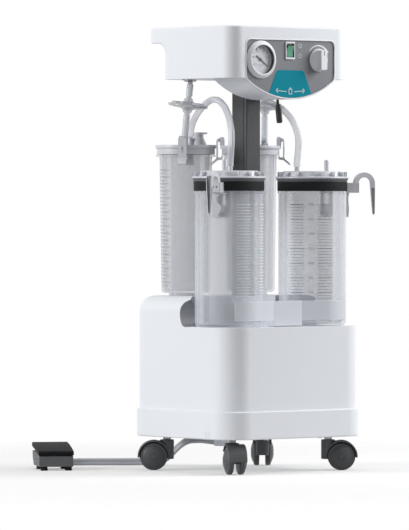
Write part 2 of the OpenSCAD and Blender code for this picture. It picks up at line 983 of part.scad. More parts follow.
// Over-rim clip: an eye on the pin, a wide plate outside the rim, a hook and a finger tab
module clip(left, a) color("gainsboro") {
    rear_site(left)
        rotate(180 + a)
            translate([0, 0, clip_pivot_z])
                difference() {
                    union() {
                        slab_y(-4, 4) {
                            translate([clip_pivot_r, 0])
                                circle(3.8);
                            polygon([[clip_pivot_r, -3.8], [clip_pivot_r, 3.8], [60, 2], [60, -5], [56.5, -5]]);
                        }
                        slab_y(-7.5, 7.5) {
                            polygon([[56.5, -5], [60, -5], [60, -36], [63, -41], [68, -44], [72, -48],
                                [73.5, -46], [69, -40.5], [64.5, -37.5], [62, -34], [62, -4], [60, 2],
                                [57, 1]]);
                            polygon([[51.5, -37], [60.5, -39], [60.5, -33.4], [51.5, -33.4]]);
                        }
                    }
                    rod_y(clip_pivot_r, 0, clip_pin_r + run, -10, 10);
                    translate([50, -2.5, -26])
                        cube([20, 5, 12]);
                }
}

module clip_pins() color("silver") {
    rear_sites()
        clip_sites()
            rod_y(clip_pivot_r, clip_pivot_z, clip_pin_r, -7, 7);
}

module loop_hose(left) color("azure", 0.6) {
    mirror([left ? 0 : 1, 0, 0])
        sweep(loop_route, [1, 0, 0], ellipse(hose_r, hose_r, 12));
}

// ---------- pump inside the base ----------

module pump_motor() color("slategray") {
    difference() {
        union() {
            rod_x(pump_y, pump_z, 45, -motor_half, motor_half);
            for (x = [-1, 1])
                translate([x * 34 - 8, pump_y - 38, 84])
                    cube([16, 76, 20]);
        }
        rod_x(pump_y, pump_z, 26, 6 - motor_half, motor_half - 6);
        rod_x(pump_y, pump_z, rotor_r + run, -60, 60);
    }
}

module pump_rotor() color("silver") {
    rod_x(pump_y, pump_z, rotor_r, -88, 88);
    rod_x(pump_y, pump_z, 22, -40, 40);
    difference() {
        rod_x(pump_y, pump_z, 40, 56, 66);
        for (k = [0:5])
            translate([61, pump_y, pump_z])
                rotate([k * 60, 0, 0])
                    translate([-6, -4, 12])
                        cube([12, 8, 22]);
    }
}

module pump_heads() color("silver") {
    for (x = [-1, 1])
        difference() {
            translate([x * 92 - 22, pump_y - 26, pump_z - 30])
                cube([44, 52, 92]);
            translate([x * 85, pump_y, pump_z])
                cube([36, 36, 44], center = true);
            rod_x(pump_y, pump_z, rotor_r + 1, x * 92 - 30, x * 92 + 10);
        }
    rod_x(pump_y, line_z, 5, -70, 70);
}

module pump_mounts() color("black") {
    for (x = [-1, 1], y = [-1, 1])
        translate([x * 34, pump_y + y * 28, column_z])
            cylinder(r = 8, h = 84 - column_z);
    for (x = [-1, 1])
        translate([x * 94, pump_y, column_z])
            cylinder(r = 8, h = pump_z - 30 - column_z);
}

module power_inlet() color("black") {
    y = cover_d / 2;
    difference() {
        union() {
            translate([inlet_x - inlet_w / 2 + gap, y - inlet_deep, inlet_z + gap])
                cube([inlet_w - 2 * gap, inlet_deep, inlet_h - 2 * gap]);
            translate([inlet_x - 25, y, inlet_z - 2])
                cube([50, 2.5, inlet_h + 4]);
        }
        translate([inlet_x - 12, y - 16, inlet_z + 2.3])
            cube([24, 20, 16.4]);
    }
    // Three flat pins, from the floor of the socket
    for (p = [[-7, 9.8], [0, 6], [7, 9.8]])
        translate([inlet_x + p[0] - 1, y - 18, inlet_z + p[1]])
            cube([2, 15, 4]);
}

// ---------- foot pedal ----------

module pedal_site() {
    translate([pedal_x, pedal_y, 0])
        rotate(pedal_turn)
            children();
}

// Outline in y and z, drawn out along X by half on each side
module side_form(half) {
    rotate([90, 0, 90])
        translate([0, 0, -half])
            linear_extrude(2 * half)
                children();
}

module pedal_base() color("dimgray") {
    half = pedal_w / 2 - 1;
    pedal_site() {
        difference() {
            side_form(half)
                polygon([[0, pedal_floor], [pedal_l - 19, pedal_floor], [pedal_l - 3, 20], [pedal_l - 1, 33],
                    [pedal_hinge_y, 31.5], [0, 26]]);
            side_form(half - 3)
                polygon([[3, pedal_floor + 3], [pedal_l - 21, pedal_floor + 3], [pedal_l - 6, 21],
                    [pedal_l - 5, 40], [3, 40]]);
            rod_x(pedal_hinge_y, pedal_hinge_z, pedal_pin_r, -half - 1, half + 1);
        }
        translate([12 - 4.5, 74, 7.5])
            cube([9, 20.8, 13]);
        translate([-9, 60, pedal_floor + 2])
            cube([18, 18, 2]);
    }
}

module pedal_treadle() color("black") {
    half = pedal_w / 2;
    pedal_site()
        difference() {
            union() {
                side_form(half)
                    polygon([[-1, 26.8], [-1, 33.5], [1.5, 35.5], [30, 41.5], [60, 46], [pedal_l - 10, 48.2],
                        [pedal_l - 2, 47.5], [pedal_l, 45], [pedal_l - 1, 40], [pedal_hinge_y, 34],
                        [12, 29]]);
                for (x = [-1, 1])
                    translate([x * 24, 0, 0])
                        side_form(2.5)
                            polygon([[pedal_hinge_y - 5, 11], [pedal_hinge_y + 5, 11],
                                [pedal_hinge_y + 8, 38],
                                [pedal_hinge_y - 8, 38]]);
            }
            rod_x(pedal_hinge_y, pedal_hinge_z, pedal_pin_r + run, -half, half);
            translate([0, 69, 0])
                cylinder(r = 8, h = 39.5);
        }
}

module pedal_pin() color("silver") {
    half = pedal_w / 2 - 1;
    pedal_site()
        rod_x(pedal_hinge_y, pedal_hinge_z, pedal_pin_r, -half - 0.5, half + 0.5);
}

module pedal_spring() color("silver") {
    turns = 5;
    steps = 10;
    low = pedal_floor + 4 + 1;
    high = 39.5 - 1.2;
    path = [for (i = [0:turns * steps]) let (a = 360 * i / steps, t = i / (turns * steps))
        [5.5 * cos(a), 5.5 * sin(a), low + (high - low) * t]];
    pedal_site()
        translate([0, 69, 0])
            sweep(path, [0, 0, 1], ellipse(0.8, 0.8, 6));
}

module pedal_feet() color("black") {
    pedal_site()
        for (x = [-21, 23], y = [8, 66])
            translate([x, y, 0])
                cylinder(r = 6.5, h = pedal_floor);
}

module pedal_hose() color("silver") {
    sweep(pedal_route, [0, 0, 1], ellipse(3.25, 6.5, 10));
}

place() base_tray();
place() base_cover();
place() column();
place() column_flanges();
place() head_shell();
place() head_base();
place() front_panel();
place() gauge_case();
place() gauge_dial();
place() gauge_needle();
place() gauge_glass();
place() switch_frame();
place() power_rocker();
place() regulator_knob();
place() regulator_valve();
place() selector_valve();
place() selector_lever();
place() inlet_ports();
place() filters();
place() air_tubes();
place() jar_band();
place() front_jars();
place() jar_seals();
place() front_lids();
place() front_spigots();
place() float_cages();
place() float_ball(true);  // float_left
place() float_ball(false);  // float_right
place() hook(true);  // hook_left
place() hook(false);  // hook_right
place() rear_jars();
place() rear_lids();
place() rear_fittings();
place() clip(true, 45);  // clip_left_front
place() clip(true, 225);  // clip_left_rear
place() clip(false, 45);  // clip_right_front
place() clip(false, 225);  // clip_right_rear
place() clip_pins();
place() loop_hose(true);  // hose_left
place() loop_hose(false);  // hose_right
place() fork(0);  // fork_front_left
place() fork(1);  // fork_front_right
place() fork(2);  // fork_rear_left
place() fork(3);  // fork_rear_right
place() wheels(0);  // wheels_front_left
place() wheels(1);  // wheels_front_right
place() wheels(2);  // wheels_rear_left
place() wheels(3);  // wheels_rear_right
place() pump_motor();
place() pump_rotor();
place() pump_heads();
place() pump_mounts();
place() power_inlet();
place() pedal_base();
place() pedal_treadle();
place() pedal_pin();
place() pedal_spring();
place() pedal_feet();
place() pedal_hose();
place() screws();
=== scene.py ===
# %% [markdown]
# A mobile suction pump for an operating room: a trolley with the pump in its base, a column
# that carries a control head, two large front jars, two smaller rear jars, clear hoses, and
# a foot pedal on a flat air hose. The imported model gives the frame: every new piece is drawn
# in place round it, rides on one of its bodies, and hides the plain solid that it stands for.

# %% The frame
from math import cos, radians, sin

import bmesh
import bpy
from mathutils import Matrix, Vector


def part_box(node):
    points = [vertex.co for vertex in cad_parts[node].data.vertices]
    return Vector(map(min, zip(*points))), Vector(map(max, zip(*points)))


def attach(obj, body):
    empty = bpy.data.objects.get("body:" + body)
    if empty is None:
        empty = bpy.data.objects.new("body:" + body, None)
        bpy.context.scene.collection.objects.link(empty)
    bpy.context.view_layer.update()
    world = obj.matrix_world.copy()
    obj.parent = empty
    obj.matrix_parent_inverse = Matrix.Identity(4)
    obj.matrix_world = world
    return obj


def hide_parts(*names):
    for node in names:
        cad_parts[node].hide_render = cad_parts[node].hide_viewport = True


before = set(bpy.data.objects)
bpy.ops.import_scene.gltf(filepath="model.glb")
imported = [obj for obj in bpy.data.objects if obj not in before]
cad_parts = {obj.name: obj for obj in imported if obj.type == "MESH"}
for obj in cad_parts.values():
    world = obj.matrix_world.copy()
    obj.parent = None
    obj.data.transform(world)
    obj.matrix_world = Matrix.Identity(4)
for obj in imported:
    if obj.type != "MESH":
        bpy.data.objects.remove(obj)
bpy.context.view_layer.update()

scene = bpy.context.scene

# %% [markdown]
# The trolley is drawn in millimetres about the middle of its own base, because that is how
# its parts are dimensioned, and each finished piece is shrunk to metres and moved into the
# frame at the end. The middle of the base tray's box is that middle.

# %% The trolley's middle
low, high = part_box("base_tray")
TROLLEY = Vector(((low[0] + high[0]) / 2, (low[1] + high[1]) / 2, 0))
MM = 0.001


def at(x, y, z):
    """A point of the trolley in millimetres, as a point of the frame in metres."""
    return TROLLEY + Vector((x, y, z)) * MM


print("trolley's middle:", [round(v, 4) for v in TROLLEY])

# %% [markdown]
# The camera stands in front and to the left, a little below the middle of the trolley's
# height and far away, with a long lens. A far camera keeps upright edges upright.

# %% Camera
CAMERA_TURN = radians(39.3)
CAMERA_FAR = 9300
CAMERA_HEIGHT = 477
LENS = 351
CAMERA_REACH = 100
AIM = (-60, 49, 369)

lens = bpy.data.cameras.new("camera")
lens.lens = LENS
lens.clip_end = CAMERA_REACH
camera = bpy.data.objects.new("camera", lens)
scene.collection.objects.link(camera)
camera.location = at(AIM[0] - CAMERA_FAR * sin(CAMERA_TURN), AIM[1] - CAMERA_FAR * cos(CAMERA_TURN),
    CAMERA_HEIGHT)
camera.rotation_euler = (at(*AIM) - camera.location).to_track_quat("-Z", "Y").to_euler()
scene.camera = camera
print("camera at", [round(v, 3) for v in camera.location])

# %% [markdown]
# Moulded and painted surfaces are never one even colour: the tint drifts a little, and the
# skin has a fine grain that breaks up its shine. One helper gives every finish those three
# things, colour, roughness and bump, from noise on object coordinates. Stretching the noise
# along one axis turns the same grain into brush marks.

# %% Finishes from noise
def tint(r, g, b):
    """An 8-bit screen colour as the linear colour that a shader wants."""
    return tuple(((c / 255 + 0.055) / 1.055) ** 2.4 if c > 10 else c / 255 / 12.92 for c in (r, g, b))


def settle(node, sockets):
    """Sets constants on a node's own sockets, whose names have _ for a space here."""
    for socket, value in sockets.items():
        node.inputs[socket.replace("_", " ")].default_value = value
    return node


def add(nodes, kind, **sockets):
    return settle(nodes.new("ShaderNode" + kind), sockets)


def math_node(nodes, operation):
    node = add(nodes, "Math")
    node.operation = operation
    return node


def join(links, *pairs):
    for start, end in pairs:
        links.new(start, end)


SKIN_SHARE, CLOUD_SHARE = 0.4, 0.6
CLOUD_SIZE = 60
SKIN_DETAIL = 3
SHEEN_FROM, SHEEN_TO = (0.3, 0.7), (0.85, 1.15)
BUMP_DEEP = 0.001


def finish(name, colour, drift=0.05, grain=900, rough=0.4, bump=0.02, stretch=(1, 1, 1), **sockets):
    """A material whose tint, roughness and height follow a noise of grain lumps to the metre."""
    material = bpy.data.materials.new(name)
    material.use_nodes = True
    nodes, links = material.node_tree.nodes, material.node_tree.links
    shader = settle(nodes["Principled BSDF"], sockets)
    where = add(nodes, "TexCoord")
    scale = add(nodes, "Mapping", Scale=stretch)
    skin = add(nodes, "TexNoise", Scale=grain, Detail=SKIN_DETAIL)
    cloud = add(nodes, "TexNoise", Scale=grain / CLOUD_SIZE)
    blend = add(nodes, "Mix")
    blend.data_type = "RGBA"
    colour = tint(*colour)
    blend.inputs[6].default_value = (*[c * (1 - drift) for c in colour], 1)
    blend.inputs[7].default_value = (*[min(1, c * (1 + drift)) for c in colour], 1)
    both = math_node(nodes, "MULTIPLY_ADD")
    both.inputs[1].default_value = SKIN_SHARE
    lift = math_node(nodes, "MULTIPLY")
    lift.inputs[1].default_value = CLOUD_SHARE
    sheen = add(nodes, "MapRange", From_Min=SHEEN_FROM[0], From_Max=SHEEN_FROM[1],
        To_Min=rough * SHEEN_TO[0], To_Max=min(1, rough * SHEEN_TO[1]))
    height = add(nodes, "Bump", Strength=bump, Distance=BUMP_DEEP)
    join(links, (where.outputs["Object"], scale.inputs["Vector"]),
        (scale.outputs["Vector"], skin.inputs["Vector"]), (scale.outputs["Vector"], cloud.inputs["Vector"]),
        (skin.outputs["Fac"], both.inputs[0]), (cloud.outputs["Fac"], lift.inputs[0]),
        (lift.outputs[0], both.inputs[2]), (both.outputs[0], blend.inputs[0]),
        (blend.outputs[2], shader.inputs["Base Color"]), (skin.outputs["Fac"], sheen.inputs["Value"]),
        (sheen.outputs[0], shader.inputs["Roughness"]), (skin.outputs["Fac"], height.inputs["Height"]),
        (height.outputs["Normal"], shader.inputs["Normal"]))
    return material


# %% [markdown]
# Clear plastic shows more of itself where its wall is seen edge on. The facing angle drives
# how solid the wall is, in uneven bands that are painted reflections: the bright and dark
# upright streaks that light makes in a clear jar. The walls inside and outside both count.
# A clear piece keeps only SHADE of its shadow.

# %% Clear plastics
PAINTED_REFLECTION_BANDS = ((0, 0.34), (0.16, 0.38), (0.24, 0.24), (0.36, 0.3), (0.44, 0.46), (0.56, 0.28), (0.66, 0.34),
    (0.72, 0.62), (0.84, 0.42), (1, 0.95))
SHADE = 0.3


def clear(name, colour, levels, rough=0.12, **sockets):
    """A see-through finish: levels pairs how far it turns from the eye with how solid it is."""
    material = finish(name, colour, drift=0.02, grain=300, rough=rough, bump=0.001, **sockets)
    nodes, links = material.node_tree.nodes, material.node_tree.links
    angle = add(nodes, "LayerWeight", Blend=0.5)
    ramp = add(nodes, "ValToRGB")
    stops = ramp.color_ramp.elements
    for place, level in levels:
        stop = stops[0] if place == 0 else stops[len(stops) - 1] if place == 1 else stops.new(place)
        stop.color = (level, level, level, 1)
    path = add(nodes, "LightPath")
    lighter = add(nodes, "MapRange", To_Min=1, To_Max=SHADE)
    share = math_node(nodes, "MULTIPLY")
    join(links, (path.outputs["Is Shadow Ray"], lighter.inputs["Value"]),
        (angle.outputs["Facing"], ramp.inputs["Fac"]), (ramp.outputs["Color"], share.inputs[0]),
        (lighter.outputs[0], share.inputs[1]), (share.outputs[0], nodes["Principled BSDF"].inputs["Alpha"]))
    return material


SHELL = finish("satin_white", (236, 239, 244), drift=0.012, grain=1400, rough=0.5, bump=0.03,
    Specular_IOR_Level=0.3)
TRIM = finish("trim_white", (232, 235, 240), drift=0.015, grain=1400, rough=0.4, bump=0.02)
FILM = finish("panel_film", (138, 140, 145), drift=0.02, grain=2500, rough=0.6, bump=0.04,
    Specular_IOR_Level=0.15)
TEAL = finish("label_teal", (3, 140, 160), drift=0.03, grain=2500, rough=0.6, bump=0.03,
    Specular_IOR_Level=0.08)
CLIP = finish("clip_plastic", (214, 216, 221), drift=0.02, grain=1200, rough=0.3, bump=0.02)
# Painted shadow: the grey of the narrow ring under the front lids' rims.
SHADOW_GREY = finish("painted_shadow_grey", (84, 86, 90), drift=0.03, grain=1200, rough=0.6)
# Scale lines: a pale copy for the left front jar and a grey one for the rest; the difference is painted
# light and shade.
SCALE_LINE_PAINTED_LIGHT = finish("scale_lines_painted_light", (226, 229, 234), drift=0.03, grain=1500, rough=0.4)
LINE_INK = finish("scale_lines", (150, 153, 160), drift=0.03, grain=1500, rough=0.4)
INK = finish("printed_ink", (38, 39, 43), drift=0.05, grain=3000, rough=0.55)
PALE_INK = finish("pale_ink", (222, 226, 230), drift=0.02, grain=3000, rough=0.5)
DIAL = finish("dial_card", (168, 170, 175), drift=0.02, grain=2500, rough=0.55)
ROCKER = finish("lit_green", (94, 166, 134), drift=0.04, grain=700, rough=0.25, bump=0.01)
BLACK = finish("black_plastic", (36, 38, 39), drift=0.1, grain=1600, rough=0.42, bump=0.08,
    Specular_IOR_Level=0.3)
RUBBER = finish("black_rubber", (27, 28, 30), drift=0.1, grain=1200, rough=0.6, bump=0.06,
    Specular_IOR_Level=0.12)
GRIP = finish("soft_black", (14, 15, 17), drift=0.14, grain=2200, rough=0.6, bump=0.25,
    Specular_IOR_Level=0.12)
DARK = finish("dark_grey_plastic", (88, 89, 91), drift=0.08, grain=1300, rough=0.45, bump=0.08,
    Specular_IOR_Level=0.3)
TREAD = finish("wheel_plastic", (80, 81, 83), drift=0.08, grain=1500, rough=0.38, bump=0.06,
    Specular_IOR_Level=0.3)
PEDAL = finish("pedal_grey", (100, 101, 103), drift=0.08, grain=1800, rough=0.6, bump=0.2,
    Specular_IOR_Level=0.3)
COLUMN_FINISH = finish("dark_anodised", (66, 67, 69), drift=0.1, grain=900, rough=0.4, bump=0.05,
    stretch=(1, 1, 0.03), Specular_IOR_Level=0.35)
# Painted shade: a grey for faces inside recesses, slots and holes that lie in shadow.
PAINTED_SHADE_GREY = finish("painted_shade_grey", (132, 134, 139), drift=0.05, grain=1400, rough=0.5, bump=0.03)
LID = finish("lid_grey", (208, 210, 216), drift=0.02, grain=1300, rough=0.32, bump=0.02)
SHEET = finish("band_metal", (205, 208, 215), drift=0.03, grain=1600, rough=0.5, bump=0.04,
    stretch=(0.06, 0.06, 1), Metallic=0.15)
STEEL = finish("bright_steel", (200, 200, 202), drift=0.05, grain=1500, rough=0.25, bump=0.03,
    stretch=(1, 1, 0.1), Metallic=1.0)
CAST = finish("cast_alloy", (170, 172, 176), drift=0.1, grain=500, rough=0.55, bump=0.3, Metallic=0.8)
MOTOR = finish("motor_paint", (92, 96, 104), drift=0.08, grain=450, rough=0.5, bump=0.3)
BRASS = finish("valve_brass", (200, 170, 110), drift=0.06, grain=900, rough=0.3, bump=0.04, Metallic=1.0)
TWIN = finish("air_hose", (170, 173, 179), drift=0.04, grain=900, rough=0.38, bump=0.04)
JAR = clear("clear_jar", (216, 219, 226), PAINTED_REFLECTION_BANDS)
REAR_JAR = clear("clear_rear_jar", (198, 200, 207), PAINTED_REFLECTION_BANDS)
TUBE = clear("clear_tube", (212, 215, 222), ((0, 0.35), (1, 0.92)), rough=0.2)
LENS_PLASTIC = clear("clear_filter", (196, 198, 204), ((0, 0.3), (1, 0.9)))
CAGE = clear("clear_cage", (150, 153, 160), ((0, 0.35), (1, 0.85)), rough=0.2)
PANE = clear("gauge_pane", (225, 228, 232), ((0, 0.02), (1, 0.3)), rough=0.03, Specular_IOR_Level=0.25)
print("finishes:", len(bpy.data.materials))

# %% [markdown]
# The two loop hoses are clear silicone, 12 mm thick, and run from each rear lid up and over
# to the front lid of the same side. A stiff short hose stands up by itself, so a curve
# through the points of its middle line is all it needs, with a round bevel for its wall.

# %% Loop hoses
HOSE_WIDE = 12
LOOP = [(-66, 82, 598), (-66, 82, 604), (-62, 83, 619), (-53.5, 82.5, 636), (-46, 74, 652), (-45, 56, 663),
    (-52, 27, 666), (-61.5, -3, 658), (-70, -28, 641), (-75.5, -43, 619), (-78, -49, 597),
    (-78.5, -48, 574), (-78.2, -45.5, 552), (-78.2, -45.5, 546)]


def smooth_curve(name, points, wide):
    """A round cord along a smooth line through points in metres."""
    curve = bpy.data.curves.new(name, "CURVE")
    curve.dimensions = "3D"
    curve.bevel_depth = wide / 2
    curve.bevel_resolution = 6
    curve.resolution_u = 8
    curve.use_fill_caps = True
    line = curve.splines.new("BEZIER")
    line.bezier_points.add(len(points) - 1)
    for knot, point in zip(line.bezier_points, points):
        knot.co = point
        knot.handle_left_type = knot.handle_right_type = "AUTO"
    cord = bpy.data.objects.new(name, curve)
    scene.collection.objects.link(cord)
    return cord


def path_length(points):
    return sum((b - a).length for a, b in zip(points, points[1:]))


for side, across in (("left", 1), ("right", -1)):
    route = [at(across * x, y, z) for x, y, z in LOOP]
    hose = smooth_curve("loop_hose_" + side, route, HOSE_WIDE * MM)
    hose.data.materials.append(TUBE)
    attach(hose, "trolley")
    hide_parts("hose_" + side)
    print(hose.name, "is", round(path_length(route), 3), "m long")

# %% [markdown]
# The pedal's air hose is two thin tubes bonded side by side, lying on edge. The outline of
# the pair is carried along the route as a curve's bevel shape, with Z up so that the pair
# never rolls over, and the result is made a mesh.

# %% Pedal hose
TWIN_TALL = 13
TWIN_THICK = 6.5
PEDAL_ROUTE = [(-227, 270, 14), (-223.5, 276, 14), (-214, 293, 11), (-200, 311, 7.5), (-181, 322, 6.6),
    (-160, 326, 6.6), (-139, 322, 6.6), (-122, 312, 6.6), (-98, 293, 6.6), (-74, 273, 6.6),
    (-52, 255, 6.8), (-38, 239, 7.5), (-31, 219, 9), (-29, 199, 14), (-32, 178, 24), (-37, 156, 35),
    (-42, 132, 45), (-46, 109, 51), (-49, 86, 53), (-55, 62, 54), (-63, 38, 54), (-71, 15, 54),
    (-74, 3, 54), (-74, -3, 54)]


def twin_outline():
    """Two bonded tubes, as one closed outline about the middle."""
    r = TWIN_THICK / 2
    top = [(r * cos(a), TWIN_TALL / 2 - r + r * sin(a)) for a in [radians(t) for t in range(-50, 231, 20)]]
    return [(x * MM, y * MM) for x, y in top + [(-x, -y) for x, y in top]]


twin = bpy.data.curves.new("twin_outline", "CURVE")
edge = twin.splines.new("POLY")
edge.points.add(len(twin_outline()) - 1)
for knot, (x, y) in zip(edge.points, twin_outline()):
    knot.co = (x, y, 0, 1)
edge.use_cyclic_u = True
shape = bpy.data.objects.new("twin_outline", twin)
scene.collection.objects.link(shape)
route = [at(*p) for p in PEDAL_ROUTE]
guide = smooth_curve("hose_guide", route, 0)
guide.data.twist_mode = "Z_UP"
guide.data.bevel_mode = "OBJECT"
guide.data.bevel_object = shape
guide.data.resolution_u = 6
bpy.context.view_layer.update()
swept = bpy.data.meshes.new_from_object(guide.evaluated_get(bpy.context.evaluated_depsgraph_get()))
swept.name = "pedal_air_hose"
swept.shade_smooth()
swept.materials.clear()
swept.materials.append(TWIN)
air_hose = bpy.data.objects.new("pedal_air_hose", swept)
scene.collection.objects.link(air_hose)
for helper in (guide, shape):
    bpy.data.objects.remove(helper)
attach(air_hose, "trolley")
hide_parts("pedal_hose")
print("pedal hose is", round(path_length(route), 3), "m long")

# %% [markdown]
# Most of the pieces are plastic mouldings: boxes with rounded corners, turned shapes, and
# outlines drawn out to a thickness. A few small helpers start each of these from a bmesh
# operator, ease the sharp edges with a bevel, and cut one shape with another.

# %% Shapes to start from
SEAM, CUT_SEAM, FLAT_WITHIN = 1e-4, 1e-3, 0.5


def merged(first, *others):
    """One bmesh that holds several."""
    for other in others:
        spare = bpy.data.meshes.new("spare")
        other.to_mesh(spare)
        other.free()
        first.from_mesh(spare)
        bpy.data.meshes.remove(spare)
    return first


def moved(bm, *, to=(0, 0, 0), turn=None):
    if turn is not None:
        bmesh.ops.transform(bm, matrix=turn, verts=bm.verts)
    bmesh.ops.translate(bm, vec=to, verts=bm.verts)
    return bm


def flipped(bm, left=True):
    """The same shape for the right side, if left is false."""
    if not left:
        bmesh.ops.scale(bm, vec=(-1, 1, 1), verts=bm.verts)
        bmesh.ops.reverse_faces(bm, faces=bm.faces)
    return bm


def both_sides(bm):
    return merged(bm, flipped(bm.copy(), False))


def block(w, d, h, at=(0, 0, 0), round_=0, steps=8):
    """A box w by d by h about a middle, with its upright edges rounded."""
    bm = bmesh.new()
    bmesh.ops.create_cube(bm, size=1)
    bmesh.ops.scale(bm, vec=(w, d, h), verts=bm.verts)
    bmesh.ops.translate(bm, vec=at, verts=bm.verts)
    if round_:
        uprights = [e for e in bm.edges if abs(e.verts[0].co.z - e.verts[1].co.z) > h / 2]
        bmesh.ops.bevel(bm, geom=uprights, offset=round_, offset_type="OFFSET", segments=steps, profile=0.5,
            affect="EDGES", material=-1)
    return bm


def lathe(profile, steps=64, turn=360):
    """A turned shape: a profile of (radius, height) spun about Z."""
    bm = bmesh.new()
    ring = [bm.verts.new((r, 0, z)) for r, z in profile]
    edges = [bm.edges.new(pair) for pair in zip(ring, ring[1:])]
    if turn < 360:
        edges.append(bm.edges.new((ring[-1], ring[0])))
        bm.faces.new(ring)
    bmesh.ops.spin(bm, geom=ring + edges, cent=(0, 0, 0), axis=(0, 0, 1), angle=radians(turn), steps=steps,
        use_merge=turn == 360)
    if turn < 360:
        bmesh.ops.holes_fill(bm, edges=[e for e in bm.edges if e.is_boundary], sides=0)
    bmesh.ops.remove_doubles(bm, verts=bm.verts, dist=SEAM)
    bmesh.ops.recalc_face_normals(bm, faces=bm.faces)
    return bm


def rod(r, low, high, steps):
    """A plain cylinder about Z, from one height to another."""
    return lathe([(0, low), (r, low), (r, high), (0, high)], steps)


def drawn(bm, depth):
    """A flat face drawn out along Z by depth."""
    out = bmesh.ops.extrude_face_region(bm, geom=bm.faces[:])
    bmesh.ops.translate(bm, vec=(0, 0, depth), verts=[v for v in out["geom"] if isinstance(v,
        bmesh.types.BMVert)])
    bmesh.ops.recalc_face_normals(bm, faces=bm.faces)
    return bm


def outline(points, corners=0):
    """A flat face from its corner points, with the corners rounded."""
    bm = bmesh.new()
    bm.faces.new([bm.verts.new((x, y, 0)) for x, y in points])
    if corners:
        bmesh.ops.bevel(bm, geom=bm.verts[:], offset=corners, segments=4, profile=0.5, affect="VERTICES",
            material=-1)
    return bm


def arc(x, y, r, start, end, steps=16):
    """Points along a circle, from one angle to another."""
    return [(x + r * cos(radians(start + (end - start) * k / steps)),
        y + r * sin(radians(start + (end - start) * k / steps))) for k in range(steps + 1)]


def spun(turn, axis="Z"):
    """A turn in degrees about an axis."""
    return Matrix.Rotation(radians(turn), 4, axis)


SIDE_VIEW = Matrix(((0, 0, 1, 0), (1, 0, 0, 0), (0, 1, 0, 0), (0, 0, 0, 1)))
FACING = spun(90, "X")


def facing(bm, y):
    """Stands a shape drawn in X and Y upright, facing the front, with its thickness towards it from y."""
    return moved(bm, turn=FACING, to=(0, y, 0))


def side_slab(points, half, x=0, corners=0):
    """An outline in Y and Z, drawn out along X to both sides."""
    return moved(drawn(outline(points, corners), 2 * half), turn=SIDE_VIEW, to=(x - half, 0, 0))


def ease(bm, width, segments=3, angle=30, where=lambda p: True):
    """Rounds the sharp edges whose ends pass a test."""
    edges = [e for e in bm.edges if e.is_manifold and abs(e.calc_face_angle(0)) > radians(angle)
        and all(where(v.co) for v in e.verts)]
    bmesh.ops.bevel(bm, geom=edges, offset=width, segments=segments, profile=0.5, affect="EDGES",
        material=-1, clamp_overlap=True)
    return bm


def carve(bm, tool, how="DIFFERENCE"):
    """Cuts a closed shape with another, or joins or crosses them."""
    pair = []
    for shape in (bm, tool):
        mesh = bpy.data.meshes.new("spare")
        shape.to_mesh(mesh)
        shape.free()
        pair.append(bpy.data.objects.new("spare", mesh))
        scene.collection.objects.link(pair[-1])
    cut = pair[0].modifiers.new("cut", "BOOLEAN")
    cut.object, cut.operation, cut.solver = pair[1], how, "EXACT"
    left = bmesh.new()
    left.from_object(pair[0], bpy.context.evaluated_depsgraph_get())
    for spare in pair:
        bpy.data.meshes.remove(spare.data)
    bmesh.ops.remove_doubles(left, verts=left.verts, dist=CUT_SEAM)
    bmesh.ops.dissolve_limit(left, angle_limit=radians(FLAT_WITHIN), verts=left.verts, edges=left.edges)
    return left


# %% [markdown]
# A finished shape becomes a piece: it is shrunk to metres, moved into the frame, shaded
# smooth except at its sharp edges, given its finish, and tied to its body. Weighted normals
# keep broad faces flat next to their eased edges.

# %% From a shape to a piece
made = []


def piece(name, bm, material, covers=(), body="trolley", sharp=38):
    bmesh.ops.scale(bm, vec=(MM, MM, MM), verts=bm.verts)
    bmesh.ops.translate(bm, vec=TROLLEY, verts=bm.verts)
    bmesh.ops.remove_doubles(bm, verts=bm.verts, dist=1e-7)
    mesh = bpy.data.meshes.new(name)
    bm.to_mesh(mesh)
    bm.free()
    mesh.shade_smooth()
    mesh.set_sharp_from_angle(angle=radians(sharp))
    mesh.materials.append(material)
    obj = bpy.data.objects.new(name, mesh)
    scene.collection.objects.link(obj)
    weights = obj.modifiers.new("flat faces stay flat", "WEIGHTED_NORMAL")
    weights.keep_sharp = True
    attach(obj, body)
    if covers:
        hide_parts(*([covers] if isinstance(covers, str) else covers))
    made.append(obj)
    return obj


def dress(material, *nodes):
    """Gives plain CAD solids their finish."""
    for node in nodes:
        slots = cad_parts[node].data.materials
        slots.clear()
        slots.append(material)


# %% [markdown]
# The base is two mouldings. The tray is a shallow skirt with round corners, and the cover
# stands on it a few millimetres in, so a thin step runs all the way round. Its front half is
# a deck for the front jars, and its rear half rises with a big soft top edge.

# %% Base tray
SKIRT = (325, 295, 50)
SKIRT_LOW, SKIRT_HIGH = 62, 112
CASTER_X, CASTER_Y = 112, 92
CASTER_SITES = {"front_left": (-1, -1, -118), "front_right": (1, -1, -39), "rear_left": (-1, 1, 141),
    "rear_right": (1, 1, 51)}

skirt = block(SKIRT[0], SKIRT[1], SKIRT_HIGH - SKIRT_LOW, (0, 0, (SKIRT_HIGH + SKIRT_LOW) / 2), SKIRT[2],
    14)
ease(skirt, 2.5, 3, angle=60)
for x, y, _ in CASTER_SITES.values():
    bush = lathe([(0, 55.4), (6.4, 55.4), (7, 56), (7, 60), (10, 62.5), (0, 62.5)], 32)
    merged(skirt, moved(bush, to=(x * CASTER_X, y * CASTER_Y, 0)))
hose_entry = block(16, 23, 16.5, (-74, -14.5, 54.2), 2, 3)
merged(skirt, ease(hose_entry, 1, 2, angle=60))
piece("base_skirt", skirt, SHELL, "base_tray")

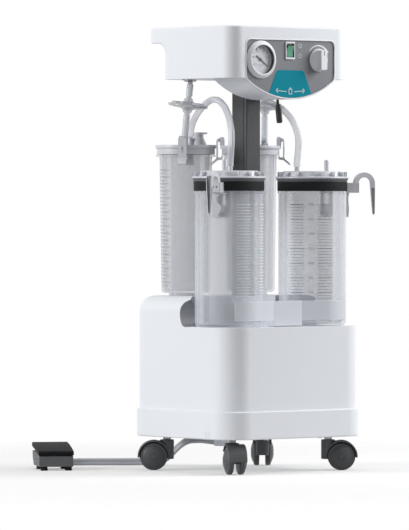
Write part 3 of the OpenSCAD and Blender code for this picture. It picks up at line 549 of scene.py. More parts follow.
mark = drawn(outline([(-5, 0), (-5, 9), (-4, 10), (4, 10), (5, 9), (5, 0), (4.2, 0), (4.2, 8.6), (3.6, 9.2),
    (-3.6, 9.2), (-4.2, 8.6), (-4.2, 0)]), 0.5)
moved(mark, turn=spun(-90) @ FACING, to=(-162.6, -84, 66))
piece("skirt_catch", mark, SHELL)
print("base skirt", SKIRT)

# %% [markdown]
# The cover could be modelled edge by edge, but it is simpler to cut it as a toolmaker would:
# one rounded block as high as the rear, with everything above the deck cut away in front, and
# a round scoop behind each front jar. The cut edges are eased last.

# %% Base cover
COVER = (316, 286, 45.5)
DECK, RISER = 260, 314
NOSE_X, NOSE_Y = 50, -34
JAR_X, JAR_Y, SCOOP = 97.4, -65.2, 68
VENTS, VENT_Z = [60 + 9 * (k - 2.5) for k in range(6)], 208
INLET_X, INLET_Z = -60, 150.5

cover = block(COVER[0], COVER[1], RISER - SKIRT_HIGH + 1, (0, 0, (RISER + SKIRT_HIGH - 1) / 2), COVER[2],
    14)
ease(cover, 27, 10, angle=60, where=lambda p: p.z > RISER - 1)
ABOVE = 120
carved = carve(cover, block(400, 200, ABOVE, (0, NOSE_Y - 100, DECK + ABOVE / 2)))
NEST_SIDE = [(-200, 0), (-14, 0), (-8, 2.6), (-4, 9), (-1.8, 18), (-1.5, 26), (-3, 35), (-8, 43.6),
    (-17, 48.4), (-26, 49.7), (-35, 50), (-200, 50)]
for side in (-1, 1):
    nest = moved(drawn(outline(NEST_SIDE), 150), turn=SIDE_VIEW, to=(side * (NOSE_X + 75) - 75, 0, DECK))
    carved = carve(carved, nest)
    scoop = rod(SCOOP, DECK, DECK + ABOVE, 96)
    carved = carve(carved, moved(scoop, to=(side * JAR_X, JAR_Y, 0)))
ease(carved, 2.2, 3, angle=40, where=lambda p: p.z > DECK - 0.5)
for x in VENTS:
    carved = carve(carved, block(4, 16, 36, (x, COVER[1] / 2, VENT_Z)))
carved = carve(carved, block(28, 40, 21, (INLET_X, COVER[1] / 2, INLET_Z)))
cover = piece("base_cover_shell", carved, SHELL, "base_cover", sharp=32)
# Faces in the nests under the lip that turn down or towards the front take the grey: painted shade, where
# the lip above shades the nest.
cover.data.materials.append(PAINTED_SHADE_GREY)
for face in cover.data.polygons:
    spot = (face.center - TROLLEY) / MM
    deep = NOSE_X < abs(spot.x) < COVER[0] / 2 - 0.5 and -60 < spot.y < 6 and DECK + 0.6 < spot.z < RISER - 3
    face.material_index = 1 if deep and (face.normal.y < -0.1 or face.normal.z < -0.3) else 0

# A thin black plate at the bottom of each vent slot is painted shade: it stands for the dark inside of the
# base, since the cover is solid.
vent_shade = bmesh.new()
for x in VENTS:
    merged(vent_shade, block(4.4, 0.6, 36.4, (x, COVER[1] / 2 - 7.8, VENT_Z)))
piece("vent_painted_shade", vent_shade, BLACK)
print("deck at", DECK, "mm, riser at", RISER, "mm")

# %% [markdown]
# The inlet takes a detachable mains lead: a black insert with a flange, a deep slot, and
# three flat pins. Nothing of it shows from the front.

# %% Power inlet
flange = block(50, 25, 2.5, round_=4, steps=4)
flange = moved(flange, turn=FACING, to=(INLET_X, COVER[1] / 2 + 1.2, INLET_Z))
insert = carve(flange, block(27, 24, 20.2, (INLET_X, COVER[1] / 2 - 10.8, INLET_Z)), "UNION")
insert = carve(insert, block(23.6, 34, 16, (INLET_X, COVER[1] / 2 + 2, INLET_Z)))
for x, z in ((-7, 1.3), (0, -2.5), (7, 1.3)):
    merged(insert, ease(block(2, 14, 4, (INLET_X + x, COVER[1] / 2 - 10, INLET_Z + z)), 0.4, 2))
piece("inlet_insert", insert, BLACK, "power_inlet")
screws = bmesh.new()
for x in (-20, 20):
    head = lathe([(0, 1.4), (1.5, 1.3), (2.8, 0.6), (3, 0), (0, 0)], 24)
    merged(screws, facing(moved(head, to=(INLET_X + x, INLET_Z, 0)), COVER[1] / 2 + 2.4))
bmesh.ops.scale(screws, vec=(1, -1, 1), verts=screws.verts, space=Matrix.Translation((0,
    -COVER[1] / 2 - 2.4, 0)))
bmesh.ops.recalc_face_normals(screws, faces=screws.faces)
piece("inlet_screws", screws, STEEL)
print("inlet insert made")

# %% [markdown]
# Each caster is a pair of wheels on a short axle, under a thin curved hood, and it swivels on
# an upright stem. The wheels stand out past the hood on both sides. One caster is drawn along
# +X from its stem, and then turned to where each of the four points.

# %% Casters
WHEEL_R, TRAIL = 25, 24
WHEEL = [(0, 5.5), (22, 5.5), (24, 6), (25, 7.5), (25, 12.6), (24.2, 14.4), (22.6, 15.6), (20.4, 16.2),
    (19.8, 15.8), (18.9, 16.8), (15, 18.7), (10, 20.2), (6.5, 20.8), (6, 20.2), (5, 20.9), (0, 21)]
HOOD_R = 29


def wheel_pair():
    one = moved(lathe(WHEEL, 72), turn=FACING)
    pair = merged(one, moved(one.copy(), turn=spun(180)))
    axle = moved(rod(3, -15, 15, 24), turn=FACING)
    return moved(merged(pair, axle), to=(TRAIL, 0, WHEEL_R))


def caster_fork():
    hood = lathe([(0, -17), (HOOD_R - 0.8, -17), (HOOD_R, -16.2), (HOOD_R, 16.2), (HOOD_R - 0.8, 17),
        (0, 17)], 72)
    hood = moved(hood, turn=FACING, to=(TRAIL, 0, WHEEL_R))
    hood = carve(hood, block(60, 40, 40, (TRAIL + 8, 0, WHEEL_R + 18)), "INTERSECT")
    web = outline([(-10, 34), (-12.5, 54), (22, 53), (32, 25), (24, 18), (0, 25)], 1.5)
    web = moved(drawn(web, 9), turn=FACING, to=(0, 4.5, 0))
    hood = carve(hood, web, "UNION")
    pivot = lathe([(0, 20), (11.6, 20), (12.5, 21), (12.5, 54), (11.5, 55), (0, 55)], 48)
    hood = carve(hood, pivot, "UNION")
    for side in (-1, 1):
        well = rod(26.4, -14.5, 14.5, 72)
        hood = carve(hood, moved(well, turn=FACING, to=(TRAIL, side * 19.6, WHEEL_R)))
    bore = rod(3.1, -6, 6, 24)
    hood = carve(hood, moved(bore, turn=FACING, to=(TRAIL, 0, WHEEL_R)))
    return merged(ease(hood, 0.7, 2, angle=50), rod(4, 54, 78, 24))


for site, (x, y, turn) in CASTER_SITES.items():
    place = Matrix.Translation((x * CASTER_X, y * CASTER_Y, 0)) @ spun(turn)
    piece("caster_hood_" + site, moved(caster_fork(), turn=place), DARK, "fork_" + site,
        "caster_" + site)
    piece("caster_wheels_" + site, moved(wheel_pair(), turn=place), TREAD, "wheels_" + site,
        "wheel_" + site, sharp=50)
print("casters on wheels of", 2 * WHEEL_R, "mm")

# %% [markdown]
# The column is an anodised aluminium extrusion with small corner bevels. Its brush marks run
# along it, which the stretched grain of its finish gives.

# %% Column
COLUMN_W, COLUMN_D, COLUMN_Y, COLUMN_Z, COLUMN_TALL = 34, 41, 4, 387, 640
post = block(COLUMN_W, COLUMN_D, COLUMN_TALL, (0, COLUMN_Y, COLUMN_Z), 2.6, 3)
for side in (-1, 1):
    groove = block(2, 3, COLUMN_TALL + 60, (side * (COLUMN_W / 2 + 0.4), COLUMN_Y - 14.5, COLUMN_Z))
    post = carve(post, groove)
piece("column_post", post, COLUMN_FINISH, "column")
print("column", (COLUMN_W, COLUMN_D))

# %% [markdown]
# The head is one deep white moulding with big upright corners and a handle lip along its
# rear top edge, hollow underneath for the fingers. Two rounded blocks are joined for it, and
# then the hollow and the panel's recess are cut out. The lip's two ends run down into the
# back wall in a soft cove.

# %% Head shell
HEAD_W, HEAD_D, HEAD_R, HEAD_Y = 276, 202, 27, -19
HEAD_LOW, HEAD_TOP, LIP = 702, 795, 27
FRONT, BACK, LIP_OUT = HEAD_Y - HEAD_D / 2, HEAD_Y + HEAD_D / 2, 41

head = block(HEAD_W, HEAD_D, HEAD_TOP - HEAD_LOW, (0, HEAD_Y, (HEAD_TOP + HEAD_LOW) / 2), HEAD_R, 12)
lip = block(HEAD_W, HEAD_D + LIP_OUT, LIP, (0, HEAD_Y + LIP_OUT / 2, HEAD_TOP - LIP / 2), HEAD_R, 12)
head = carve(head, lip, "UNION")
head = carve(head, block(HEAD_W - 30, LIP_OUT - 10, LIP - 5, (0, BACK + (LIP_OUT - 10) / 2,
    HEAD_TOP - LIP / 2 - 3.5)))


def cut_disc(r, *cuts):
    """A flat disc about the middle of the panel's arc, less all that lies past each plane."""
    bm = bmesh.new()
    bmesh.ops.create_circle(bm, cap_ends=True, radius=r, segments=160)
    bmesh.ops.translate(bm, vec=(0, ARC_Z, 0), verts=bm.verts)
    for point, normal in cuts:
        bmesh.ops.bisect_plane(bm, geom=bm.verts[:] + bm.edges[:] + bm.faces[:], plane_co=point,
            plane_no=normal, clear_outer=True, dist=1e-5)
    return bm


def soften(bm, corners, width, segments):
    bmesh.ops.bevel(bm, geom=corners, offset=width, segments=segments, profile=0.5, affect="VERTICES",
        material=-1)


def panel_face(inset):
    """The control panel's outline: a straight top and sides, and a long arc below."""
    half, top = PANEL_HALF - inset, PANEL_TOP - inset
    bm = cut_disc(ARC_R - 2.5 - inset, ((half, 0, 0), (1, 0, 0)), ((-half, 0, 0), (-1, 0, 0)),
        ((0, top, 0), (0, 1, 0)))
    soften(bm, [v for v in bm.verts if abs(abs(v.co.x) - half) < 0.01], PANEL_CORNER, 6)
    return bm


PANEL_CORNER = 9
PANEL_HALF, PANEL_TOP, ARC_R, ARC_Z = 102, 770, 170, 835
PANEL_Y = FRONT + 1.5
head = carve(head, facing(drawn(panel_face(0), 8), FRONT + 3))
ease(head, 3.5, 4, angle=55, where=lambda p: p.z > HEAD_TOP - 0.5)
ease(head, 5, 5, angle=55, where=lambda p: p.z < HEAD_LOW + 0.5)
ease(head, 2, 3, angle=55, where=lambda p: HEAD_TOP - LIP - 0.5 < p.z < HEAD_TOP - LIP + 0.5)
COVE, COVE_LOW = 26, 742.5
cove = block(HEAD_W, HEAD_D + LIP_OUT, COVE, (0, HEAD_Y + LIP_OUT / 2, COVE_LOW + COVE / 2), HEAD_R, 12)
for k in range(1, 10):
    bmesh.ops.bisect_plane(cove, geom=cove.verts[:] + cove.edges[:] + cove.faces[:], dist=1e-5,
        plane_co=(0, 0, COVE_LOW + COVE * sin(radians(9 * k))), plane_no=(0, 0, 1))
for vert in cove.verts:
    if vert.co.y > HEAD_Y:
        rise = min(1, (vert.co.z - COVE_LOW) / COVE)
        vert.co.y -= LIP_OUT - COVE * (1 - (1 - rise ** 2) ** 0.5)
cove = carve(cove, block(HEAD_W + 40, HEAD_D, 3 * COVE, (0, HEAD_Y + 20 - HEAD_D / 2, COVE_LOW)))
cove = carve(cove, block(HEAD_W - 26, 80, 3 * COVE, (0, BACK + 40, COVE_LOW)))
head = carve(head, cove, "UNION")
piece("head_shell_moulding", head, SHELL, "head_shell", sharp=34)
print("head", HEAD_W, "x", HEAD_D, "mm")

# %% [markdown]
# Under the head, the panel's arc goes on backwards as a shallow bulge, which carries the
# selector's slot. A circle cut off level with the underside and drawn out gives it. The white
# bead round the panel is the outer outline with the inner one cut out of it.

# %% Underside and bead
BULGE_BACK = -31
bulge = cut_disc(ARC_R, ((0, HEAD_LOW + 1, 0), (0, 1, 0)))
bulge = facing(drawn(bulge, BULGE_BACK - FRONT), BULGE_BACK)
bulge = carve(bulge, facing(drawn(panel_face(0), 8), FRONT + 3))
bulge = carve(bulge, block(44, 9, 40, (0, -80, 672), 3, 4))
bulge = carve(bulge, block(400, 1.2, 3, (0, -92, 665)))
ease(bulge, 1.6, 3, angle=60, where=lambda p: p.y > BULGE_BACK - 0.5)
floor_plate = block(HEAD_W - 12, HEAD_D - 12, 2, (0, HEAD_Y, HEAD_LOW + 0.7), HEAD_R - 3, 10)
piece("head_underside", merged(bulge, floor_plate), TRIM, "head_base", sharp=30)

bead = carve(drawn(panel_face(-2.3), 3), moved(drawn(panel_face(0), 6), to=(0, 0, -1)))
piece("panel_bead", facing(ease(bead, 0.9, 3, angle=60), FRONT + 2.2), TRIM)
print("bulge radius", ARC_R, "mm")

# %% [markdown]
# The control panel is a grey printed film. On it sits a teal label under the middle, with a
# jar symbol between two arrows that show which way the selector lever turns the suction.
# The label follows the panel's arc, so it is cut from the same circle. Printed marks are thin
# raised shapes, a few tenths of a millimetre proud, so that they stay sharp at any distance.

# %% Panel, label and symbols
film = facing(drawn(panel_face(0.2), 3), PANEL_Y + 3)
GAUGE_X, GAUGE_Z, SWITCH_X, SWITCH_Z, KNOB_X, KNOB_Z = -68.3, 735, -1, 752, 64.6, 736
film = carve(film, block(17.4, 20, 24.4, (SWITCH_X, PANEL_Y, SWITCH_Z)))
well = moved(rod(26.6, -9, 9, 64), turn=FACING, to=(GAUGE_X, PANEL_Y, GAUGE_Z))
piece("panel_film", carve(film, well), FILM, "front_panel", sharp=40)


PRINT_THICK = 0.3


def bar(length, thick, x=0, y=0, turn=0):
    """A flat printed stroke about a middle."""
    shape = block(length, thick, PRINT_THICK)
    return moved(shape, turn=spun(turn), to=(x, y, PRINT_THICK / 2))


def ring(r, thick, x=0, y=0, start=0, turn=360, steps=40):
    """A flat printed ring, or a part of one."""
    shape = lathe([(r - thick, 0), (r, 0), (r, PRINT_THICK), (r - thick, PRINT_THICK)]
        + ([(r - thick, 0)] if turn == 360 else []), steps, turn)
    return moved(shape, turn=spun(start), to=(x, y, 0))


LABEL_TOP, LABEL_HALF = 717, 31
label = cut_disc(ARC_R - 3.6, ((0, LABEL_TOP, 0), (0, 1, 0)), ((LABEL_HALF, LABEL_TOP, 0), (43, 19, 0)),
    ((-LABEL_HALF, LABEL_TOP, 0), (-43, 19, 0)))
soften(label, [v for v in label.verts if v.co.y > LABEL_TOP - 0.01], 5, 5)
piece("selector_label", facing(drawn(label, 0.4), PANEL_Y), TEAL)

SYMBOL_Z = 681
symbols = bmesh.new()
for side in (-1, 1):
    merged(symbols, bar(24, 1.1, side * 21, SYMBOL_Z - 1.2, side * 5),
        bar(6.5, 1.3, side * 31.4, SYMBOL_Z + 1.4, side * -38), bar(6.5, 1.3, side * 30.9, SYMBOL_Z - 2.1,
        side * 48))
jar_mark = carve(drawn(outline([(-4, -5), (4, -5), (4, 5), (-4, 5)], 2), 0.3),
    moved(drawn(outline([(-2.8, -3.8), (2.8, -3.8), (2.8, 3.8), (-2.8, 3.8)], 1.2), 1), to=(0, 0, -0.3)))
merged(symbols, moved(jar_mark, to=(0, SYMBOL_Z - 2, 0)), bar(4, 1.2, 0, SYMBOL_Z + 4.2))
piece("label_symbols", facing(symbols, PANEL_Y - 0.4), PALE_INK)

marks = merged(ring(3.9, 0.75, 23, 761, steps=32), bar(3, 0.8, 23, 761, 90),
    ring(3.9, 0.75, 23, 743, 120, 300, 28), bar(3.6, 0.8, 23, 746, 90))
START, STOP, BENDS = 142, 30, 28


def growing_arc(r, grow):
    """Points from START to STOP along an arc whose radius grows on the way."""
    return [((r + grow * (k / BENDS)) * cos(a), (r + grow * (k / BENDS)) * sin(a))
        for k in range(BENDS + 1) for a in [radians(START + (STOP - START) * k / BENDS)]]


wedge = drawn(outline(growing_arc(25.6, 3.6) + growing_arc(24.6, 0.8)[::-1]), 0.3)
merged(marks, moved(wedge, to=(KNOB_X, KNOB_Z, 0)))
piece("panel_marks", facing(marks, PANEL_Y), PALE_INK)
print("label, symbols and marks made")

# %% [markdown]
# The vacuum gauge is a round case with a deep white bezel, a card dial with a scale from 0 to
# 100, a thin black needle on a hub, and a clear pane. At rest the needle points to 0 at the
# lower right, and it turns anticlockwise as the suction rises. The scale covers its sweep.

# %% Gauge
REST, SWEEP = -35, 250
bezel = lathe([(26.5, 0), (33.2, 0), (33.75, 0.6), (33.75, 1.8), (33.3, 2.8), (29.6, 6.4), (28.6, 7.2),
    (27.2, 7.5), (26.1, 7.5), (25.5, 6.9), (25.6, 6), (26.5, 4.5), (26.5, 0)], 96)
GAUGE_AT = (GAUGE_X, PANEL_Y, GAUGE_Z)
piece("gauge_bezel", moved(bezel, turn=FACING, to=GAUGE_AT), TRIM, "gauge_case", sharp=60)
# The cup that lines the bezel's well is black: painted shade, for the shade inside the deep bezel.
cup = lathe([(26.49, 5), (26.5, -8), (0, -8), (0, -7), (25.8, -7), (25.8, 5), (26.49, 5)], 96)
piece("gauge_cup", moved(cup, turn=FACING, to=GAUGE_AT), BLACK)
card = rod(25.6, -3.5, -2, 96)
piece("gauge_card", moved(card, turn=FACING, to=GAUGE_AT), DIAL, "gauge_dial")


def words(text, size):
    """Raised print: the built-in typeface as a flat mesh, centred on its own middle."""
    font = bpy.data.curves.new("print", "FONT")
    font.body = text
    font.size = size
    font.align_x, font.align_y = "CENTER", "CENTER"
    font.resolution_u = 2
    font.extrude = PRINT_THICK / 2
    holder = bpy.data.objects.new("print", font)
    scene.collection.objects.link(holder)
    bpy.context.view_layer.update()
    flat = bpy.data.meshes.new_from_object(holder.evaluated_get(bpy.context.evaluated_depsgraph_get()))
    bm = bmesh.new()
    bm.from_mesh(flat)
    bpy.data.objects.remove(holder)
    bpy.data.curves.remove(font)
    bpy.data.meshes.remove(flat)
    return bm


dial = bmesh.new()
for k in range(51):
    angle = REST + SWEEP * k / 50
    long_ = 5 if k % 5 == 0 else 2.8
    r = 22.6 - long_ / 2
    merged(dial, bar(long_, 1.8 if k % 5 == 0 else 0.7, r * cos(radians(angle)), r * sin(radians(angle)),
        angle))
for k in range(6):
    angle = radians(REST + SWEEP * k / 5)
    merged(dial, moved(words(str(20 * k), 5.6), to=(15.2 * cos(angle), 15.2 * sin(angle), 0.15)))
merged(dial, ring(23.4, 0.7, 0, 0, REST, SWEEP, 60), bar(15, 0.8, 0, -9.5), bar(7, 0.8, 0, -12.5))
piece("dial_marks", moved(dial, turn=FACING, to=(GAUGE_X, PANEL_Y + 1.8, GAUGE_Z)), INK)

needle = drawn(outline([(-11, -1.5), (-11, 1.5), (0, 1.4), (22, 0.45), (22, -0.45), (0, -1.4)]), 0.8)
needle = moved(needle, turn=spun(REST), to=(0, 0, -1.2))
hub = lathe([(0, -1.6), (3, -1.6), (3, -0.2), (2.2, 0.4), (0, 0.6)], 32)
piece("gauge_pointer", moved(merged(needle, hub), turn=FACING, to=GAUGE_AT), BLACK,
    "gauge_needle", "gauge_needle")
pane = lathe([(0, 3.3), (20, 3), (25.7, 2.5), (25.7, 3.3), (20, 3.8), (0, 4.2)], 64)
piece("gauge_pane", moved(pane, turn=FACING, to=GAUGE_AT), PANE, "gauge_glass")
print("gauge sweeps", SWEEP, "degrees")

# %% [markdown]
# The power switch is a rocker in a white frame. Its face is green and lit, and its sides
# and the pocket round it are black, so the tilt of the rocker can be seen.

# %% Switch
frame_ring = carve(block(21.5, 31.5, 2.5, round_=2.2, steps=4), block(17.4, 24.4, 9))
frame_ring = ease(frame_ring, 0.8, 3, angle=60)
frame_ring = moved(frame_ring, turn=FACING, to=(SWITCH_X, PANEL_Y - 1.25, SWITCH_Z))
piece("switch_bezel", frame_ring, TRIM, "switch_frame")
pocket = carve(block(17.3, 24.3, 14), block(16.7, 23.7, 14, (0, 0, 1)))
piece("switch_pocket", moved(pocket, turn=FACING, to=(SWITCH_X, PANEL_Y + 5, SWITCH_Z)), BLACK)
TILT = 12
rocker = outline([(-6, -10.5), (-4.6, -4), (-4.2, 0), (-4.6, 4), (-5.3, 7.4), (-6, 10.5), (0, 10.5), (5, 4),
    (5, -4), (0, -10.5)])
rocker = moved(drawn(rocker, 15), to=(0, 0, -7.5))
rocker = moved(rocker, turn=spun(TILT, "X") @ SIDE_VIEW, to=(SWITCH_X, PANEL_Y + 3, SWITCH_Z))
rocker = piece("switch_rocker", ease(rocker, 0.6, 2, angle=50), ROCKER, "power_rocker",
    "power_rocker")
rocker.data.materials.append(BLACK)
for face in rocker.data.polygons:
    dark = abs(face.normal.x) > 0.7 or face.normal.y > -0.2 or face.center.z > TROLLEY.z + (SWITCH_Z
        + 8) * MM
    face.material_index = 1 if dark else 0
print("switch made")

# %% [markdown]
# The regulator knob is a round skirt with a straight grip bar across it. The bar is a box
# whose sides are hollowed along its length for the fingers, joined to the turned skirt.

# %% Regulator knob
KNOB_R, SKIRT_T, GRIP_OUT = 20.5, 4, 14
knob = lathe([(0, 0), (KNOB_R - 0.5, 0), (KNOB_R, 0.6), (KNOB_R, SKIRT_T - 1.6),
    (KNOB_R - 0.5, SKIRT_T - 0.4), (KNOB_R - 1.6, SKIRT_T), (0, SKIRT_T)], 96)
cone = lathe([(0, 0), (KNOB_R - 0.6, 0), (KNOB_R - 2.6, SKIRT_T + GRIP_OUT), (0, SKIRT_T + GRIP_OUT)], 96)
GRIP_TOP = SKIRT_T + GRIP_OUT
GRIP_FOOT, HOLLOW_WIDE, HOLLOW_DEEP = 12.4, 5.4, 13.4
flank = [(GRIP_FOOT - HOLLOW_WIDE * cos(radians(t)), GRIP_TOP - HOLLOW_DEEP * sin(radians(t)))
    for t in range(90, -1, -10)]
wedge = drawn(outline([(-GRIP_FOOT, 3), (GRIP_FOOT, 3)] + flank + [(-x, y) for x, y in reversed(flank)]),
    60)
grip = carve(moved(wedge, turn=FACING, to=(0, 30, 0)), cone, "INTERSECT")
grip = ease(grip, 1.4, 4, angle=50)
dot = block(1.4, 9, 0.3, (0, 12, GRIP_TOP - 0.1))
knob = merged(knob, grip)
KNOB_AT = (KNOB_X, PANEL_Y - 0.6, KNOB_Z)
piece("regulator_cap", moved(knob, turn=FACING, to=KNOB_AT), TRIM, "regulator_knob",
    "regulator_knob", sharp=45)
piece("regulator_pointer", moved(dot, turn=FACING, to=KNOB_AT), INK, body="regulator_knob")
print("knob", 2 * KNOB_R, "mm across")

# %% [markdown]
# A black lever hangs from the bulge's slot and switches the suction between the two jars.
# It is a turned grip on a thin stem, leaning a few degrees, and it swings about a pin inside.

# %% Selector lever
LEVER_Y, LEVER_Z, LEAN = -80, 690, 7
lever = lathe([(0, -1), (2.5, -1), (2.5, 33), (4.2, 34.5), (4.6, 36), (4.8, 41), (5.5, 58), (5.5, 63),
    (4.9, 66), (3.6, 67), (0, 67)], 40)
for k in range(8):
    rib = block(0.8, 0.9, 20, (5.0, 0, 52))
    merged(lever, moved(rib, turn=spun(45 * k)))
lever = moved(lever, turn=spun(180 - LEAN, "Y"))
collar = moved(lathe([(0, -3.5), (5.4, -3.5), (6, -2.9), (6, 2.9), (5.4, 3.5), (0, 3.5)], 40), turn=FACING)
piece("selector_grip", moved(merged(lever, collar), to=(0, LEVER_Y, LEVER_Z)), BLACK,
    "selector_lever", "selector_lever")
print("lever hangs from", LEVER_Z, "mm")

# %% [markdown]
# Two suction ports leave the head's underside. Below each hangs a bacteria filter, a clear
# lens-shaped housing between two short sleeves of hose. Its axis leans along the straight
# line from the port down to the rear lid, and the ribs on it run outward like spokes.

# %% Ports and filters
PORT, FILTER_SPIGOT = Vector((-88, 55, 694)), Vector((-94, 65, 598))
ports = lathe([(3, 698), (8, 698), (11, 699), (11, 702), (0, 702), (0, 700), (3, 700), (3, 698)], 40)
spigot_up = lathe([(3, 694), (4.2, 694), (4.5, 694.6), (4.5, 703), (3, 703), (3, 694)], 32)
ports = moved(merged(ports, spigot_up), to=(PORT.x, PORT.y, 0))
piece("suction_ports", both_sides(ports), CAGE, "inlet_ports")

lean = FILTER_SPIGOT - PORT
middle = PORT + 0.4 * lean
upright = lean.to_track_quat("Z", "Y").to_matrix().to_4x4()
lens_body = lathe([(2.5, -17), (4.5, -17), (5.2, -14), (7.4, -12.4), (8.6, -8), (12, -6.2), (22, -4.6),
    (31, -3.4), (33, -2.6), (35.4, -1.9), (36, -1), (36, 1), (35.4, 1.9), (33, 2.6), (31, 3.4), (22, 4.6),
    (12, 6.2), (8.6, 8), (7.4, 12.4), (5.2, 14), (4.5, 17), (2.5, 17), (2.5, 3), (30, 1.4), (30, -1.4),
    (2.5, -3), (2.5, -17)], 72)
for k in range(12):
    rib = block(20, 0.8, 1.6, (20, 0, -5.2))
    merged(lens_body, moved(rib, turn=spun(30 * k)))
lens_body = moved(lens_body, turn=upright, to=middle)
piece("filter_housings", both_sides(lens_body), LENS_PLASTIC, "filters", sharp=50)


def sleeve(start, stop):
    """A short length of hose between two points, over the spigots in its ends."""
    line = stop - start
    shape = lathe([(4.5, 0), (6, 0), (6, line.length), (4.5, line.length), (4.5, 0)], 32)
    return moved(shape, turn=line.to_track_quat("Z", "Y").to_matrix().to_4x4(), to=start)


upper, lower = middle - 17 * lean.normalized(), middle + 17 * lean.normalized()
sleeves = merged(sleeve(PORT, upper), sleeve(lower, FILTER_SPIGOT - Vector((0, 0, 8))))
piece("filter_sleeves", both_sides(sleeves), TUBE, "air_tubes")
print("filters at", [round(v) for v in middle])

# %% [markdown]
# The front jars are clear moulded cylinders with a rounded foot and a bead under the black
# seal. Each is one turned profile with its inside, so that the wall has a real thickness.
# The scale is two rows of raised lines with numbers between them, marked 250 ml to a step. The
# same moulded lines are painted pale on the left jar and grey on the right one, and that
# difference is painted light and shade.

# %% Front jars
JAR_R, JAR_TOP = 61, 512
JAR_SPOT = (-JAR_X, JAR_Y, 0)
jar = lathe([(0, DECK + 0.6), (46, DECK + 0.6), (47, DECK), (53, DECK), (57, DECK + 1), (59.8, DECK + 3.4),
    (61, DECK + 7.5), (61, 497), (62.6, 498), (62.9, 499.6), (62.6, 501.4), (61, 502.2), (61, JAR_TOP),
    (57.5, JAR_TOP), (57.5, DECK + 9), (56, DECK + 6), (52, DECK + 4), (0, DECK + 4)], 96)
jar = moved(jar, to=JAR_SPOT)
piece("front_jar_walls", both_sides(jar), JAR, "front_jars", sharp=50)

STEP, MINOR, STEPS, SCALE_FOOT = 26.2, 5, 8, DECK + 8
MAJOR_TALL, MINOR_TALL = 1.6, 0.9
REAR_STEP, REAR_FOOT, REAR_MAJOR = 12.6, 326, 1.4


def tick(r, z, tall, start, turn):
    """A fine line moulded round part of a jar."""
    shape = lathe([(r - 0.1, z - tall / 2), (r + 0.25, z - tall / 2), (r + 0.25, z + tall / 2),
        (r - 0.1, z + tall / 2)], max(3, int(turn / 4)), turn)
    return moved(shape, turn=spun(start))


def scale_rows(rows):
    marks = bmesh.new()
    for k in range(1, STEPS * MINOR + 1):
        for start, turn in rows:
            merged(marks, tick(JAR_R, SCALE_FOOT + STEP * k / MINOR, MINOR_TALL
                if k % MINOR else MAJOR_TALL, start, turn))
    return marks


FACES = {"left": 281, "right": 227}
for side, across in (("left", -1), ("right", 1)):
    face = FACES[side]
    rows = scale_rows(((face - 38, 26), (face + 12, 27)))
    for k in range(1, STEPS + 1):
        number = moved(words(str(250 * k), 5.5), turn=FACING, to=(0, -JAR_R - 0.1, SCALE_FOOT + STEP * k))
        merged(rows, moved(number, turn=spun(face + 90)))
    piece("jar_scale_" + side, moved(rows, to=(across * JAR_X, JAR_Y, 0)),
        (SCALE_LINE_PAINTED_LIGHT if side == "left" else LINE_INK))
print("front jars", 2 * JAR_R, "mm across, scale step", STEP, "mm")

# %% [markdown]
# A thick black rubber ring seals each front lid to its jar. The lid is a grey moulding with
# a raised ring and short ribs outside it. Two spigots stand on it, one for the loop hose and
# one, left free, for the patient's hose. Under the free one hangs a cage with a float, which
# rises with the fluid and shuts the suction off before it can reach the pump.

# %% Front lids
seal = lathe([(61, 502.2), (62.4, 502.2), (63, 502.8), (63, 518.4), (62.4, 519), (54, 519), (54, 512),
    (61, 512), (61, 502.2)], 96)
piece("lid_seals", both_sides(moved(seal, to=JAR_SPOT)), RUBBER, "jar_seals", sharp=50)

GROOVE_TOP = 524.6
lid = lathe([(0, 508), (53.7, 508), (53.7, 519), (63, 519), (63, 521.5), (64.6, 521.5), (64.6, GROOVE_TOP),
    (66, GROOVE_TOP + 0.3), (66, 526.6), (65.4, 527.6), (64, 528), (57, 528), (55.5, 528.6), (53, 536.4),
    (52, 537.6), (50.6, 538), (47.4, 538), (46.2, 537.4), (44.6, 531), (43.6, 530), (0, 530)], 96)
# The faces of the narrow ring under the rim take the painted shadow grey, for the shade under the rim.
for face in lid.faces:
    spot = face.calc_center_median()
    face.material_index = 1 if 520 < spot.z < GROOVE_TOP + 0.1 and spot.xy.length > 60 else 0
for k in range(16):
    rib = block(13, 1.8, 8.4, (56.2, 0, 532.2))
    top = moved(block(30, 4, 12), turn=spun(38, "Y"), to=(66.5, 0, 540.5))
    merged(lid, moved(carve(rib, top), turn=spun(22.5 * k)))
for k in range(8):
    rib = block(14, 1.6, 4, (38, 0, 531.5))
    merged(lid, moved(rib, turn=spun(45 * k + 10)))
lids = piece("front_lid_mouldings", both_sides(moved(lid, to=JAR_SPOT)), LID, "front_lids",
    sharp=45)
lids.data.materials.append(SHADOW_GREY)

HOSE_PORT, PATIENT_PORT = (19.2, 19.7), (-22, -13.8)
FLOAT_SPOT = (-JAR_X + PATIENT_PORT[0], JAR_Y + PATIENT_PORT[1], 0)
hose_spigot = lathe([(2.75, 546), (4.2, 546), (4.5, 545.6), (4.5, 536), (6.4, 535), (7, 534), (7, 530),
    (2.75, 530), (2.75, 546)], 32)
barbs = lathe([(2.75, 558), (3.8, 558), (4.5, 555), (4.5, 554), (3.9, 553.6), (4.5, 550), (4.5, 549),
    (3.9, 548.6), (4.5, 545), (4.5, 544), (3.9, 543.6), (3.9, 537), (6, 535.6), (7, 534.4), (7, 530),
    (2.75, 530), (2.75, 558)], 32)
spigots = merged(moved(hose_spigot, to=(*HOSE_PORT, 0)), moved(barbs, to=(*PATIENT_PORT, 0)))
piece("lid_spigots", both_sides(moved(spigots, to=JAR_SPOT)), LID, "front_spigots", sharp=50)

